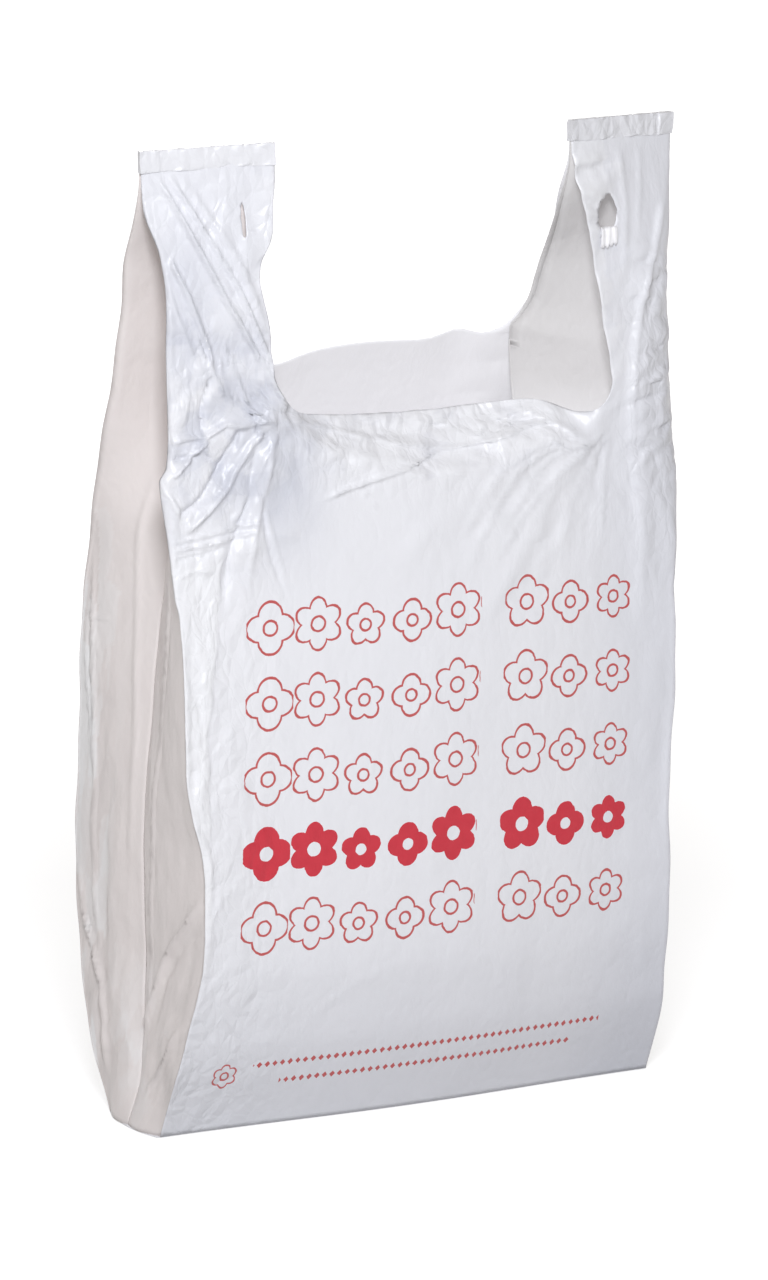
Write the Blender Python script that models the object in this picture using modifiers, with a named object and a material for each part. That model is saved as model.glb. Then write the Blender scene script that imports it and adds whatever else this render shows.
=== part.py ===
"""Vest-style carrier bag of thin film, standing open on its folded base.

The real bag is one blown tube with a gusset folded into each side. The tube is sealed across the
bottom and across the tops, the mouth is cut out with a U-shaped die that leaves two handles, and a
hang hole is punched through each handle. The script follows that order: the tube is a loft of open
sections, the mouth is its open edge, Solidify gives the wall, the seals are united with it, and the
hang holes are cut last.

Frame: metres, +Z up, front panel towards -Y, the underside of the base at z = 0.
"""
import bpy
import bmesh
import numpy as np
from math import cos, radians, sin, tan
from mathutils import Matrix

# Film
WALL = 0.0005
LAYER_PITCH = 0.0008

# Tube and base
PANEL_WIDTH = 0.292
GUSSET_WIDTH = 0.150
BASE_FRONT = 0.029
BASE_BACK = 0.027
BELLY_HEIGHT = 0.110
BELLY_FRONT = 0.061
BELLY_BACK = 0.066
LEFT_PINCH = 0.011
RIGHT_PINCH = 0.005
SHOULDER_HEIGHT = 0.260
SHOULDER_FRONT = 0.057
SHOULDER_BACK = 0.056
SWELL_FRONT = 0.005
SWELL_BACK = 0.012
GUSSET_BOW = 0.05

# Mouth
BACK_RIM_HEIGHT = 0.398
FRONT_RIM_DROP = 0.018
RIM_FRONT = 0.048
RIM_BACK = 0.017
MOUTH_CORNER_RADIUS = 0.028
LIP_LENGTH = 0.040
LIP_LEAN = radians(42)
LIP_CENTRE = 0.012
LIP_BEND = 0.004
RIGHT_CORNER_RADIUS = 0.013
CORNER_DIP = 0.014
CORNER_DIP_PLACE = 0.100
CORNER_DIP_REACH = 0.020

# Handles
HANDLE_TOP = 0.518
STRAP_ROOT_WIDTH = 0.056
STRAP_TOP_WIDTH = 0.068
TOP_LEAN = 0.040
TOP_SPLAY = 0.008
STRIP_YAW = radians(12.5)
STRIP_TILT = radians(1.6)
ROLLED_SHARE = 0.36
ROLL_SWELL = 0.6
FOLD_RADIUS_LIMIT = 0.003
SOFT_SHARE = 0.04
SLIT_HALF_WIDTH = 0.008
SLACK_FRONT = 0.002
SLACK_BACK = 0.006
WAIST_HEIGHT = 0.458
WAIST_DEPTH = 0.0125
WAIST_REACH = 0.018
BACK_WAIST_HEIGHT = 0.450
BACK_WAIST_DEPTH = 0.010
BACK_WAIST_REACH = 0.030

# Seals and hang holes
STRIP_HEIGHT = 0.0115
STRIP_THICKNESS = 0.0038
BASE_THICKNESS = 0.0010
BOTTOM_SEAL_WIDTH = 0.012
BOTTOM_SEAL_THICKNESS = 0.0016
HOLE_WIDTH = 0.012
HOLE_HEIGHT = 0.021
HOLE_DROP = 0.050
HOLE_INSET = 0.037
PINCHED_HOLE_WIDTH = 0.005
PINCHED_HOLE_DROP = 0.038
PINCHED_HOLE_INSET = 0.043
HOLE_SIDES = 12

# Grid of the loft
BODY_ROWS = 23
CORNER_ROWS = 5
HANDLE_ROWS = 9
STRAP_COLUMNS = 9
MIDDLE_COLUMNS = 12
BACK_STRAP_COLUMNS = 5
BACK_MIDDLE_COLUMNS = 6
GUSSET_COLUMNS = 4
PLEAT_COLUMNS = 2

FILM_COLOUR = (0.86, 0.86, 0.88, 1.0)

HALF_WIDTH = PANEL_WIDTH / 2
GUSSET_HALF = GUSSET_WIDTH / 2
FOLD_RADIUS = LAYER_PITCH / 2
FRONT_RIM = BACK_RIM_HEIGHT - FRONT_RIM_DROP
SEAL_FOOT = HANDLE_TOP - STRIP_HEIGHT
FILM_TOP = HANDLE_TOP - 0.4 * STRIP_HEIGHT
LEFT, RIGHT = -1, 1


def smooth_step(value, start, end):
    """Rise from 0 to 1 between start and end, level at both."""
    share = np.clip((value - start) / (end - start), 0, 1)
    return share * share * (3 - 2 * share)


def bell(value, centre, reach):
    """Bell curve of height 1."""
    return np.exp(-((value - centre) / reach) ** 2)


def through(value, stations):
    """Smooth curve through (place, size) stations, with no overshoot at a peak."""
    place, size = np.array(stations, float).T
    rise = np.diff(size) / np.diff(place)
    slope = np.zeros_like(size)
    same_way = rise[1:] * rise[:-1] > 0
    middle = 2 * rise[1:] * rise[:-1] / np.where(same_way, rise[1:] + rise[:-1], 1)
    slope[1:-1] = np.where(same_way, middle, 0)
    slope[0], slope[-1] = rise[0], rise[-1]
    value = np.clip(value, place[0], place[-1])
    index = np.clip(np.searchsorted(place, value) - 1, 0, len(place) - 2)
    width = place[index + 1] - place[index]
    share = (value - place[index]) / width
    first = (1 + 2 * share) * (1 - share) ** 2 * size[index]
    second = share ** 2 * (3 - 2 * share) * size[index + 1]
    start_slope = share * (1 - share) ** 2 * slope[index]
    end_slope = share ** 2 * (share - 1) * slope[index + 1]
    return first + second + width * (start_slope + end_slope)


def front_depth(level):
    """How far the front panel's folds stand in front of the middle of the base."""
    closing = TOP_LEAN + 1.5 * LAYER_PITCH
    return through(level, (
        (0.0, BASE_FRONT),
        (0.5 * BELLY_HEIGHT, 0.25 * BASE_FRONT + 0.75 * BELLY_FRONT),
        (BELLY_HEIGHT, BELLY_FRONT),
        (SHOULDER_HEIGHT, SHOULDER_FRONT),
        (FRONT_RIM, RIM_FRONT),
        (0.5 * (BACK_RIM_HEIGHT + SEAL_FOOT), 0.5 * (RIM_FRONT + closing) + SLACK_FRONT),
        (SEAL_FOOT, closing),
        (HANDLE_TOP, closing)))


def back_depth(level):
    """How far the back panel's folds stand behind the middle of the base."""
    closing = 1.5 * LAYER_PITCH - TOP_LEAN
    return through(level, (
        (0.0, BASE_BACK),
        (0.4 * BELLY_HEIGHT, 0.35 * BASE_BACK + 0.65 * BELLY_BACK),
        (BELLY_HEIGHT, BELLY_BACK),
        (SHOULDER_HEIGHT, SHOULDER_BACK),
        (BACK_RIM_HEIGHT, RIM_BACK),
        (0.5 * (BACK_RIM_HEIGHT + SEAL_FOOT), 0.5 * (RIM_BACK + closing) + SLACK_BACK),
        (SEAL_FOOT, closing),
        (HANDLE_TOP, closing)))


def front_level(level):
    """Height of the front film at a level: it slouches below the back film at the mouth."""
    up = smooth_step(level, SHOULDER_HEIGHT - 0.06, BACK_RIM_HEIGHT)
    down = smooth_step(level, BACK_RIM_HEIGHT, SEAL_FOOT)
    return level - FRONT_RIM_DROP * (up - down)


def fold_reach(level, side, front):
    """Distance of a side fold from the middle: pinched in at the belly, splayed at the top."""
    pinch = (LEFT_PINCH if side == LEFT else RIGHT_PINCH) if front else 0
    belly = pinch * smooth_step(level, 0.0, BELLY_HEIGHT)
    belly = belly * (1 - smooth_step(level, BELLY_HEIGHT + 0.03, SHOULDER_HEIGHT))
    splay = TOP_SPLAY * smooth_step(level, BACK_RIM_HEIGHT + 0.03, SEAL_FOOT)
    swell = ROLL_SWELL * (roll_radius(level, side, front) - FOLD_RADIUS)
    return HALF_WIDTH - belly + splay + swell


def roll_radius(level, side, front):
    """Radius that the strap's outer edge is rolled to: widest on the right front strap."""
    gap = front_depth(level) + back_depth(level) - 3 * LAYER_PITCH
    share = ROLLED_SHARE if (side == RIGHT and front) else SOFT_SHARE
    swell = smooth_step(level, SHOULDER_HEIGHT, BACK_RIM_HEIGHT)
    return FOLD_RADIUS + share * swell * np.clip(gap, 0, None)


def strap_width(level, side, front):
    """Film width from the outer fold to the die-cut edge, with the mouth's rounded corner."""
    taper = smooth_step(level, BACK_RIM_HEIGHT, SEAL_FOOT)
    straight = STRAP_ROOT_WIDTH + (STRAP_TOP_WIDTH - STRAP_ROOT_WIDTH) * taper
    if side == LEFT and front:
        straight = straight - WAIST_DEPTH * bell(level, WAIST_HEIGHT, WAIST_REACH)
    if side == RIGHT and not front:
        straight = straight - BACK_WAIST_DEPTH * bell(level, BACK_WAIST_HEIGHT, BACK_WAIST_REACH)
    radius = RIGHT_CORNER_RADIUS if side == RIGHT and front else MOUTH_CORNER_RADIUS
    below = np.clip(BACK_RIM_HEIGHT + radius - level, 0, radius)
    return straight + radius - np.sqrt(radius ** 2 - below ** 2)


def rolled_edge(distance, radius):
    """Place on a strip of film whose edge turns back by a quarter circle, then runs straight.

    Returns the place inward from the outermost point, and the depth behind the strip's plane.
    """
    turn = radius * np.pi / 2
    angle = (1 - np.clip(distance / turn, 0, 1)) * np.pi / 2
    inward = radius * (1 - np.sin(angle)) + np.clip(distance - turn, 0, None)
    return inward, radius * (1 - np.cos(angle))


def ridge(across, level, start, end, width, height):
    """Straight raised fold from start to end, a bell across its line and tapered along it."""
    run = np.subtract(end, start)
    length = np.hypot(*run)
    along = ((across - start[0]) * run[0] + (level - start[1]) * run[1]) / length ** 2
    beside = ((across - start[0]) * run[1] - (level - start[1]) * run[0]) / length
    taper = smooth_step(along, -0.12, 0.15) * (1 - smooth_step(along, 0.85, 1.12))
    return height * taper * np.exp(-(beside / width) ** 2)


def front_relief(across, level):
    """Folds of the front panel, as a depth in front of its plane."""
    left_corner = (STRAP_ROOT_WIDTH - HALF_WIDTH + 0.004, FRONT_RIM + 0.008)
    right_corner = (HALF_WIDTH - 0.75 * STRAP_ROOT_WIDTH, FRONT_RIM - 0.008)
    left_fold = 0.006 - HALF_WIDTH
    relief = SWELL_FRONT * np.cos(np.clip(across / HALF_WIDTH, -1, 1) * np.pi / 2) ** 2
    relief = relief * (1 - smooth_step(level, FRONT_RIM, FRONT_RIM + 0.03))
    # start, end, width and height of each taut fold
    pulls = (
        ((left_fold + 0.004, SEAL_FOOT - 0.016), left_corner, 0.0055, 0.0050),
        ((left_fold + 0.026, SEAL_FOOT - 0.022), left_corner, 0.0050, 0.0035),
        ((left_fold, FRONT_RIM + 0.052), (left_fold + 0.034, FRONT_RIM - 0.012), 0.0060, 0.0050),
        ((left_fold, FRONT_RIM - 0.018), (left_fold + 0.052, FRONT_RIM - 0.002), 0.0060, 0.0060),
        ((left_fold, FRONT_RIM - 0.046), (left_fold + 0.060, FRONT_RIM - 0.026), 0.0065, 0.0055),
        ((left_fold, FRONT_RIM - 0.078), (left_fold + 0.068, FRONT_RIM - 0.058), 0.0055, 0.0040),
        ((left_fold + 0.030, FRONT_RIM - 0.100), left_corner, 0.0070, 0.0045),
        ((right_corner[0] - 0.130, FRONT_RIM - 0.082), right_corner, 0.0070, 0.0028),
        ((right_corner[0] - 0.070, FRONT_RIM - 0.110), right_corner, 0.0065, 0.0022),
        ((0.132, FRONT_RIM + 0.080), (0.126, FRONT_RIM - 0.120), 0.0060, 0.0025))
    for start, end, width, height in pulls:
        relief = relief + ridge(across, level, start, end, width, height)
    lap = (left_fold + 0.020, BELLY_HEIGHT - 0.02), (left_fold + 0.024, FRONT_RIM - 0.060)
    relief = relief + ridge(across, level, *lap, 0.0070, 0.0045)
    return relief * (1 - smooth_step(level, SEAL_FOOT - 0.020, SEAL_FOOT - 0.004))


def back_relief(across, level):
    """Folds of the back panel, as a depth behind its plane."""
    swell = SWELL_BACK * np.cos(np.clip(across / HALF_WIDTH, -1, 1) * np.pi / 2) ** 2
    swell = swell * smooth_step(level, 0.0, BELLY_HEIGHT)
    swell = swell * (1 - smooth_step(level, SHOULDER_HEIGHT, BACK_RIM_HEIGHT + 0.02))
    shallow = ridge(across, level, (0.100, 0.360), (0.020, 0.250), 0.010, 0.0045)
    shallow = shallow + ridge(across, level, (-0.100, 0.370), (-0.050, 0.200), 0.010, 0.0045)
    shallow = shallow + ridge(across, level, (0.060, 0.060), (0.125, 0.180), 0.009, 0.0035)
    return swell + shallow


def handle_middle():
    """Distance of each seal strip's middle from the bag's middle."""
    return HALF_WIDTH + TOP_SPLAY - STRAP_TOP_WIDTH / 2


def strip_turn(across, level):
    """Yaw of each handle about its own middle: inner ends come forward, outer ends go back."""
    share = smooth_step(level, BACK_RIM_HEIGHT - 0.02, SEAL_FOOT)
    return share * tan(STRIP_YAW) * (np.abs(across) - handle_middle())


def strip_lower(across, level):
    """Drop of each handle's outer side, from the handles' outward lean."""
    share = smooth_step(level, BACK_RIM_HEIGHT, SEAL_FOOT)
    return share * tan(STRIP_TILT) * (np.abs(across) - handle_middle())


def panel_columns(level, side, front, columns):
    """Across and depth places of one side's columns, from the outer fold to the cut edge."""
    width = strap_width(np.maximum(level, BACK_RIM_HEIGHT), side, front)[:, None]
    radius = roll_radius(level, side, front)[:, None]
    first = np.minimum(radius * np.pi / 2, width / columns)
    distance = first + (width - first) * np.linspace(0, 1, columns)[None, :]
    inward, behind = rolled_edge(np.hstack([0 * first, distance]), radius)
    return side * (fold_reach(level, side, front)[:, None] - inward), behind


def corner_dip(across, level):
    """Drop of the front rim at the mouth's right corner, where the film is pulled down."""
    zone = smooth_step(level, FRONT_RIM - 0.080, FRONT_RIM - 0.005)
    zone = zone * (1 - smooth_step(level, FRONT_RIM + 0.005, FRONT_RIM + 0.060))
    return CORNER_DIP * zone * bell(across, CORNER_DIP_PLACE, CORNER_DIP_REACH)


def lip(across, level):
    """Front film above the arc of the lip: it leans back into the bag.

    Returns how far it goes back and how far its height is cut by the lean.
    """
    rim = front_level(np.array(BACK_RIM_HEIGHT))
    half_span = HALF_WIDTH - 0.9 * STRAP_ROOT_WIDTH
    offset = np.clip(np.abs(across - LIP_CENTRE) / half_span, 0, 1)
    fold = rim - LIP_LENGTH * (1 - offset ** 2) ** 0.8
    above = np.clip(np.minimum(level, rim) - fold, 0, None)
    above = above * (1 - smooth_step(level, rim, rim + MOUTH_CORNER_RADIUS))
    bent = above ** 2 / (above + LIP_BEND)
    return bent * sin(LIP_LEAN), bent * (1 - cos(LIP_LEAN))


def panel_points(level, across, behind, front):
    """Points of a panel from their level, their place across and their depth behind its plane."""
    row = level[:, None] + 0 * across
    height = front_level(row) if front else row
    if front:
        back_off, lowered = lip(across, height)
        middle = smooth_step(HALF_WIDTH - np.abs(across), 0.6 * STRAP_ROOT_WIDTH, STRAP_ROOT_WIDTH)
        back_off, lowered = back_off * middle, lowered * middle
        depth = -front_depth(row) + behind + back_off - front_relief(across, height)
        height = height - lowered - corner_dip(across, height)
    else:
        depth = back_depth(row) - behind + back_relief(across, height)
    depth = depth + strip_turn(across, row)
    height = height - strip_lower(across, row)
    return np.stack([across, depth, height], axis=-1)


def panel(levels, front, body_rows, strap_columns, middle_columns):
    """Three patches of a panel: the body below the mouth, and a strap on each side above it."""
    body, above = levels[:body_rows + 1], levels[body_rows:]
    left, left_behind = panel_columns(body, LEFT, front, strap_columns)
    right, right_behind = panel_columns(body, RIGHT, front, strap_columns)
    share = np.linspace(0, 1, middle_columns + 1)[None, 1:-1]
    middle = left[:, -1:] + (right[:, -1:] - left[:, -1:]) * share
    across = np.hstack([left, middle, right[:, ::-1]])
    behind = np.hstack([left_behind, 0 * middle, right_behind[:, ::-1]])
    patches = [panel_points(body, across, behind, front)]
    for side in (LEFT, RIGHT):
        across, behind = panel_columns(above, side, front, strap_columns)
        patch = panel_points(above, across, behind, front)
        patches.append(patch if side == LEFT else patch[:, ::-1])
    return patches


def gusset_recess(level, half_chord, width):
    """How far inward the gusset's crease stands, from the line between its two folds."""
    folded = np.sqrt(np.clip(width ** 2 - half_chord ** 2, 0, None))
    share = through(level, (
        (0.0, 0.0), (0.03, 0.12), (BELLY_HEIGHT + 0.03, 0.06), (0.20, 0.22),
        (0.31, 0.40), (BACK_RIM_HEIGHT - 0.03, 0.96), (BACK_RIM_HEIGHT, 1.0), (HANDLE_TOP, 1.0)))
    return share * folded


def gusset(levels, front_edge, back_edge, side):
    """Two patches of one side gusset, each from its fold to the crease and on to the pleat's tip."""
    level = levels[:, None]
    inward = np.array([-side, 0, 0])
    chord = back_edge - front_edge
    half_chord = np.linalg.norm(chord[:, :2], axis=1)[:, None] / 2
    along = chord / np.maximum(np.linalg.norm(chord, axis=1)[:, None], 1e-9)
    middle = (front_edge + back_edge) / 2
    trimmed = level > BACK_RIM_HEIGHT + 1e-6
    width = np.where(trimmed, strap_width(level, side, False), GUSSET_HALF)
    width = np.minimum(width, GUSSET_HALF)
    recess = gusset_recess(level, half_chord, width)
    spent = np.hypot(half_chord, recess)
    pleat = np.where(trimmed, 0, np.clip(width - spent, 0, None))
    opened = smooth_step(level, BACK_RIM_HEIGHT, BACK_RIM_HEIGHT + 0.03)
    opened = opened * (1 - smooth_step(level, BACK_RIM_HEIGHT + 0.05, SEAL_FOOT))
    slit = FOLD_RADIUS + (SLIT_HALF_WIDTH - FOLD_RADIUS) * opened
    yaw = strip_turn(middle[:, :1] - side * recess, level) - strip_turn(middle[:, :1], level)
    yaw = np.hstack([0 * yaw, yaw, 0 * yaw])
    patches = []
    for edge, way in ((front_edge, -1), (back_edge, 1)):
        toward = np.array([0, -way, 0])
        turn = np.minimum(roll_radius(level, side, way == -1), FOLD_RADIUS_LIMIT)
        start = edge + turn * (toward + inward)
        crease = middle + inward * recess + yaw + way * slit * along
        bend = np.linspace(0, 1, GUSSET_COLUMNS + 1)[None, 1:, None]
        run = start[:, None] + (crease - start)[:, None] * bend
        bow = GUSSET_BOW * half_chord[:, None] * np.sin(np.pi * bend)
        run = run - inward * bow * (1 - smooth_step(level[:, None], 0.30, BACK_RIM_HEIGHT))
        depth = np.linspace(0, 1, PLEAT_COLUMNS + 1)[None, 1:, None]
        fold = crease[:, None] + inward * pleat[:, None] * depth
        tip = middle + inward * (recess + pleat + FOLD_RADIUS) + yaw
        tip = np.where(trimmed, fold[:, -1], tip)
        patch = np.concatenate([edge[:, None], start[:, None], run, fold], axis=1)
        patches.append((patch, tip, trimmed[:, 0]))
    return patches


def row_levels():
    """Levels of the loft's rows, closer in the mouth's corner than in the body."""
    body = np.linspace(BASE_THICKNESS / 2, BACK_RIM_HEIGHT, BODY_ROWS + 1)
    angle = np.linspace(0, np.pi / 2, CORNER_ROWS + 1)[1:]
    corner = BACK_RIM_HEIGHT + MOUTH_CORNER_RADIUS * (1 - np.cos(angle))
    handle = np.linspace(corner[-1], FILM_TOP, HANDLE_ROWS + 1)[1:]
    return np.concatenate([body, corner, handle])


def add_patch(bm, points, flip):
    """Faces over a grid of points, turned so that they look out of the bag."""
    rows, columns = points.shape[:2]
    grid = [[bm.verts.new(points[row, column]) for column in range(columns)] for row in range(rows)]
    for row in range(rows - 1):
        for column in range(columns - 1):
            corners = [grid[row][column], grid[row][column + 1],
                       grid[row + 1][column + 1], grid[row + 1][column]]
            bm.faces.new(corners[::-1] if flip else corners)


def film_mesh():
    """The sealed and die-cut tube as one open surface."""
    levels = row_levels()
    bm = bmesh.new()
    front = panel(levels, True, BODY_ROWS, STRAP_COLUMNS, MIDDLE_COLUMNS)
    back = panel(levels, False, BODY_ROWS, BACK_STRAP_COLUMNS, BACK_MIDDLE_COLUMNS)
    for patch in front:
        add_patch(bm, patch, False)
    for patch in back:
        add_patch(bm, patch, True)
    for side, column, strap in ((LEFT, 0, 1), (RIGHT, -1, 2)):
        front_edge = np.vstack([front[0][:, column], front[strap][1:, column]])
        back_edge = np.vstack([back[0][:, column], back[strap][1:, column]])
        for way, (patch, tip, trimmed) in enumerate(gusset(levels, front_edge, back_edge, side)):
            joined = ~trimmed
            full = np.concatenate([patch, tip[:, None]], axis=1)
            rows = np.count_nonzero(joined)
            flip = (side == LEFT) == (way == 0)
            add_patch(bm, full[:rows], flip)
            add_patch(bm, patch[rows - 1:, :GUSSET_COLUMNS + 2], flip)
    bmesh.ops.remove_doubles(bm, verts=bm.verts, dist=1e-6)
    bmesh.ops.triangulate(bm, faces=bm.faces)
    mesh = bpy.data.meshes.new("film_bag")
    bm.to_mesh(mesh)
    bm.free()
    mesh.shade_smooth()
    mesh.set_sharp_from_angle(angle=radians(40))
    return mesh


def hide(helper, collection):
    """Keep a helper in its own collection, out of the render."""
    for owner in list(helper.users_collection):
        owner.objects.unlink(helper)
    collection.objects.link(helper)
    helper.hide_render = True
    helper.display_type = "WIRE"


def add_bar(name, centre, size, turn, bevel, collection):
    """Flat bar with rounded edges, turned about its own centre."""
    bpy.ops.mesh.primitive_cube_add(size=1, location=centre)
    bar = bpy.context.object
    bar.name = name
    bar.data.transform(Matrix.Diagonal((*size, 1)))
    bar.rotation_euler = turn
    edges = bar.modifiers.new("rounded_edges", "BEVEL")
    edges.width = bevel
    edges.segments = 1
    hide(bar, collection)
    return bar


def add_punch(name, centre, width, height, length, collection):
    """Oval punch that runs through both sides of a handle."""
    bpy.ops.mesh.primitive_cylinder_add(vertices=HOLE_SIDES, radius=0.5, depth=1, location=centre)
    punch = bpy.context.object
    punch.name = name
    punch.data.transform(Matrix.Rotation(radians(90), 4, "X"))
    punch.data.transform(Matrix.Diagonal((width, length, height, 1)))
    hide(punch, collection)
    return punch


def combine(bag, helper, operation):
    """Unite a helper with the bag, or cut it out."""
    step = bag.modifiers.new(operation.lower() + "_" + helper.name, "BOOLEAN")
    step.operation = operation
    step.solver = "EXACT"
    step.object = helper


def seals(collection):
    """Folded base, its welded band, and the welded strip across each handle's top."""
    middle = (BASE_BACK - BASE_FRONT) / 2
    depth = BASE_BACK + BASE_FRONT + WALL
    base = add_bar("base", (0, middle, BASE_THICKNESS / 2),
                   (PANEL_WIDTH + WALL, depth, BASE_THICKNESS), (0, 0, 0), WALL / 2, collection)
    band = add_bar("bottom_seal", (0, middle, BOTTOM_SEAL_THICKNESS / 2),
                   (PANEL_WIDTH - 2 * WALL, BOTTOM_SEAL_WIDTH, BOTTOM_SEAL_THICKNESS),
                   (0, 0, 0), WALL / 2, collection)
    bars = [base, band]
    for side, word in ((LEFT, "left"), (RIGHT, "right")):
        centre = (side * handle_middle(), -TOP_LEAN, HANDLE_TOP - STRIP_HEIGHT / 2)
        size = (STRAP_TOP_WIDTH / cos(STRIP_YAW) + 2 * WALL, STRIP_THICKNESS, STRIP_HEIGHT)
        turn = (0, side * STRIP_TILT, side * STRIP_YAW)
        bars.append(add_bar(word + "_strip", centre, size, turn, WALL, collection))
    return bars


def main():
    for old in list(bpy.data.objects):
        bpy.data.objects.remove(old, do_unlink=True)
    parts = bpy.data.collections.new("carrier_bag")
    helpers = bpy.data.collections.new("carrier_bag_cutters")
    bpy.context.scene.collection.children.link(parts)
    bpy.context.scene.collection.children.link(helpers)

    bag = bpy.data.objects.new("film_bag", film_mesh())
    parts.objects.link(bag)
    wall = bag.modifiers.new("wall", "SOLIDIFY")
    wall.thickness = WALL
    wall.offset = 0
    for bar in seals(helpers):
        combine(bag, bar, "UNION")
    for word, side, inset, drop, width in (
            ("left_punch", LEFT, PINCHED_HOLE_INSET, PINCHED_HOLE_DROP, PINCHED_HOLE_WIDTH),
            ("right_punch", RIGHT, HOLE_INSET, HOLE_DROP, HOLE_WIDTH)):
        centre = (side * (HALF_WIDTH - inset), -TOP_LEAN / 2, HANDLE_TOP - drop)
        punch = add_punch(word, centre, width, HOLE_HEIGHT, 4 * TOP_LEAN, helpers)
        combine(bag, punch, "DIFFERENCE")

    film = bpy.data.materials.new("white_film")
    film.use_nodes = True
    shader = film.node_tree.nodes["Principled BSDF"]
    shader.inputs["Base Color"].default_value = FILM_COLOUR
    shader.inputs["Roughness"].default_value = 0.35
    bag.data.materials.append(film)


main()
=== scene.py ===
"""Dresses the carrier bag: fine creased film, welded handle ends, folded base, ink and studio.

Frame: metres, +Z up, front panel towards -Y, underside of the base at z = 0. The film is the same
sealed and die-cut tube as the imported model, on a finer grid and with its small creases.
"""
from math import cos, radians, sin, tan

import bmesh
import bpy
import numpy as np
from mathutils import Matrix, Vector
from mathutils.geometry import delaunay_2d_cdt


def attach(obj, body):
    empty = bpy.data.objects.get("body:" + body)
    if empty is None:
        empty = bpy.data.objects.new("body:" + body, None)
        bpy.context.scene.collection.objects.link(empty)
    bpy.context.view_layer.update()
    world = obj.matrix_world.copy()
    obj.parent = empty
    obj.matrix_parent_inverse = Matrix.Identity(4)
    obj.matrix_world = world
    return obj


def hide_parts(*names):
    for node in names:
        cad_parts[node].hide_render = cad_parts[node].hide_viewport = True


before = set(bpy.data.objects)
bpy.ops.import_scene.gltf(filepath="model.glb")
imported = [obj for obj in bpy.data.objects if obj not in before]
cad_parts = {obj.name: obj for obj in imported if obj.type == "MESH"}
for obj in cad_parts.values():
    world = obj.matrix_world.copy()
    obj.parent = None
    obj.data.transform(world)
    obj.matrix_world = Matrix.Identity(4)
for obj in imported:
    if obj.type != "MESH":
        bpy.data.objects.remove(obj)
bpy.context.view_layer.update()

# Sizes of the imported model
LAYER_PITCH = 0.0008
PANEL_WIDTH = 0.292
GUSSET_WIDTH = 0.150
BASE_FRONT = 0.029
BASE_BACK = 0.027
BELLY_HEIGHT = 0.110
BELLY_FRONT = 0.061
BELLY_BACK = 0.066
RIGHT_PINCH = 0.005
SHOULDER_HEIGHT = 0.260
SHOULDER_FRONT = 0.057
SHOULDER_BACK = 0.056
BACK_RIM_HEIGHT = 0.398
FRONT_RIM_DROP = 0.018
RIM_FRONT = 0.048
RIM_BACK = 0.017
MOUTH_CORNER_RADIUS = 0.028
LIP_LENGTH = 0.040
LIP_LEAN = radians(42)
LIP_CENTRE = 0.012
LIP_BEND = 0.004
RIGHT_CORNER_RADIUS = 0.013
CORNER_DIP = 0.014
CORNER_DIP_PLACE = 0.100
CORNER_DIP_REACH = 0.020
HANDLE_TOP = 0.518
STRAP_ROOT_WIDTH = 0.056
STRAP_TOP_WIDTH = 0.068
TOP_LEAN = 0.040
TOP_SPLAY = 0.008
STRIP_YAW = radians(12.5)
STRIP_TILT = radians(1.6)
ROLLED_SHARE = 0.36
ROLL_SWELL = 0.6
FOLD_RADIUS_LIMIT = 0.003
SOFT_SHARE = 0.04
SLACK_FRONT = 0.002
SLACK_BACK = 0.006
WAIST_HEIGHT = 0.458
WAIST_DEPTH = 0.0125
WAIST_REACH = 0.018
BACK_WAIST_HEIGHT = 0.450
BACK_WAIST_DEPTH = 0.010
STRIP_HEIGHT = 0.0115
STRIP_THICKNESS = 0.0038
BASE_THICKNESS = 0.0010
SEAL_WIDTH = 0.012
SEAL_THICKNESS = 0.0016
HOLE_WIDTH = 0.012
HOLE_HEIGHT = 0.021
SLIT_WIDTH = 0.0024
SLIT_HEIGHT = 0.018
HOLE_DROP = 0.050
HOLE_INSET = 0.037
PINCHED_HOLE_DROP = 0.038
PINCHED_HOLE_INSET = 0.043

HALF_WIDTH = PANEL_WIDTH / 2
GUSSET_HALF = GUSSET_WIDTH / 2
FOLD_RADIUS = LAYER_PITCH / 2
SEAL_FOOT = HANDLE_TOP - STRIP_HEIGHT
FILM_TOP = HANDLE_TOP - 0.4 * STRIP_HEIGHT
FRONT_RIM = BACK_RIM_HEIGHT - FRONT_RIM_DROP
LEFT, RIGHT = -1, 1

# Sizes of the dressed model alone
FILM = 0.00026
SLIT_HALF_WIDTH = 0.002
BACK_WAIST_REACH = 0.024
RIGHT_WAIST = 0.0035
RIGHT_WAIST_HEIGHT = 0.415
RIGHT_WAIST_REACH = 0.055
FOOT_BOW = 0.0045
FOOT_BOW_FADE = 0.06
GUSSET_LEAN = {LEFT: 0.45, RIGHT: 0.85}
GUSSET_SLACK = {LEFT: 0.006, RIGHT: 0.010}
CORNER_FOLD_REACH = 0.046
STRIP_MARGIN = 0.0010

# How steep and narrow the creases are drawn, as shares of the sizes in their lists
CREASE_GAIN = 1.5
CREASE_NARROWING = 0.5
MAIN_CREASE_WIDTH = 3.0
GUSSET_GAIN = 1.9
SMALL_GUSSET_GAIN = 0.8

# Grid of the film
LOW_ROWS = 84
SHOULDER_ROWS = 124
CORNER_ROWS = 12
HANDLE_ROWS = 72
DETAIL_LEVEL = 0.245
FRONT_COLUMNS = {LEFT: 76, 0: 60, RIGHT: 36}
BACK_COLUMNS = {LEFT: 11, 0: 20, RIGHT: 11}
GUSSET_COLUMNS = {LEFT: 34, RIGHT: 11}
PLEAT_COLUMNS = 2
FLAP_COLUMNS = 25
STRIP_STATIONS = 161
STRIP_CORNERS = 36
BASE_COLUMNS = 147
BASE_ROWS = 41

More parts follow.
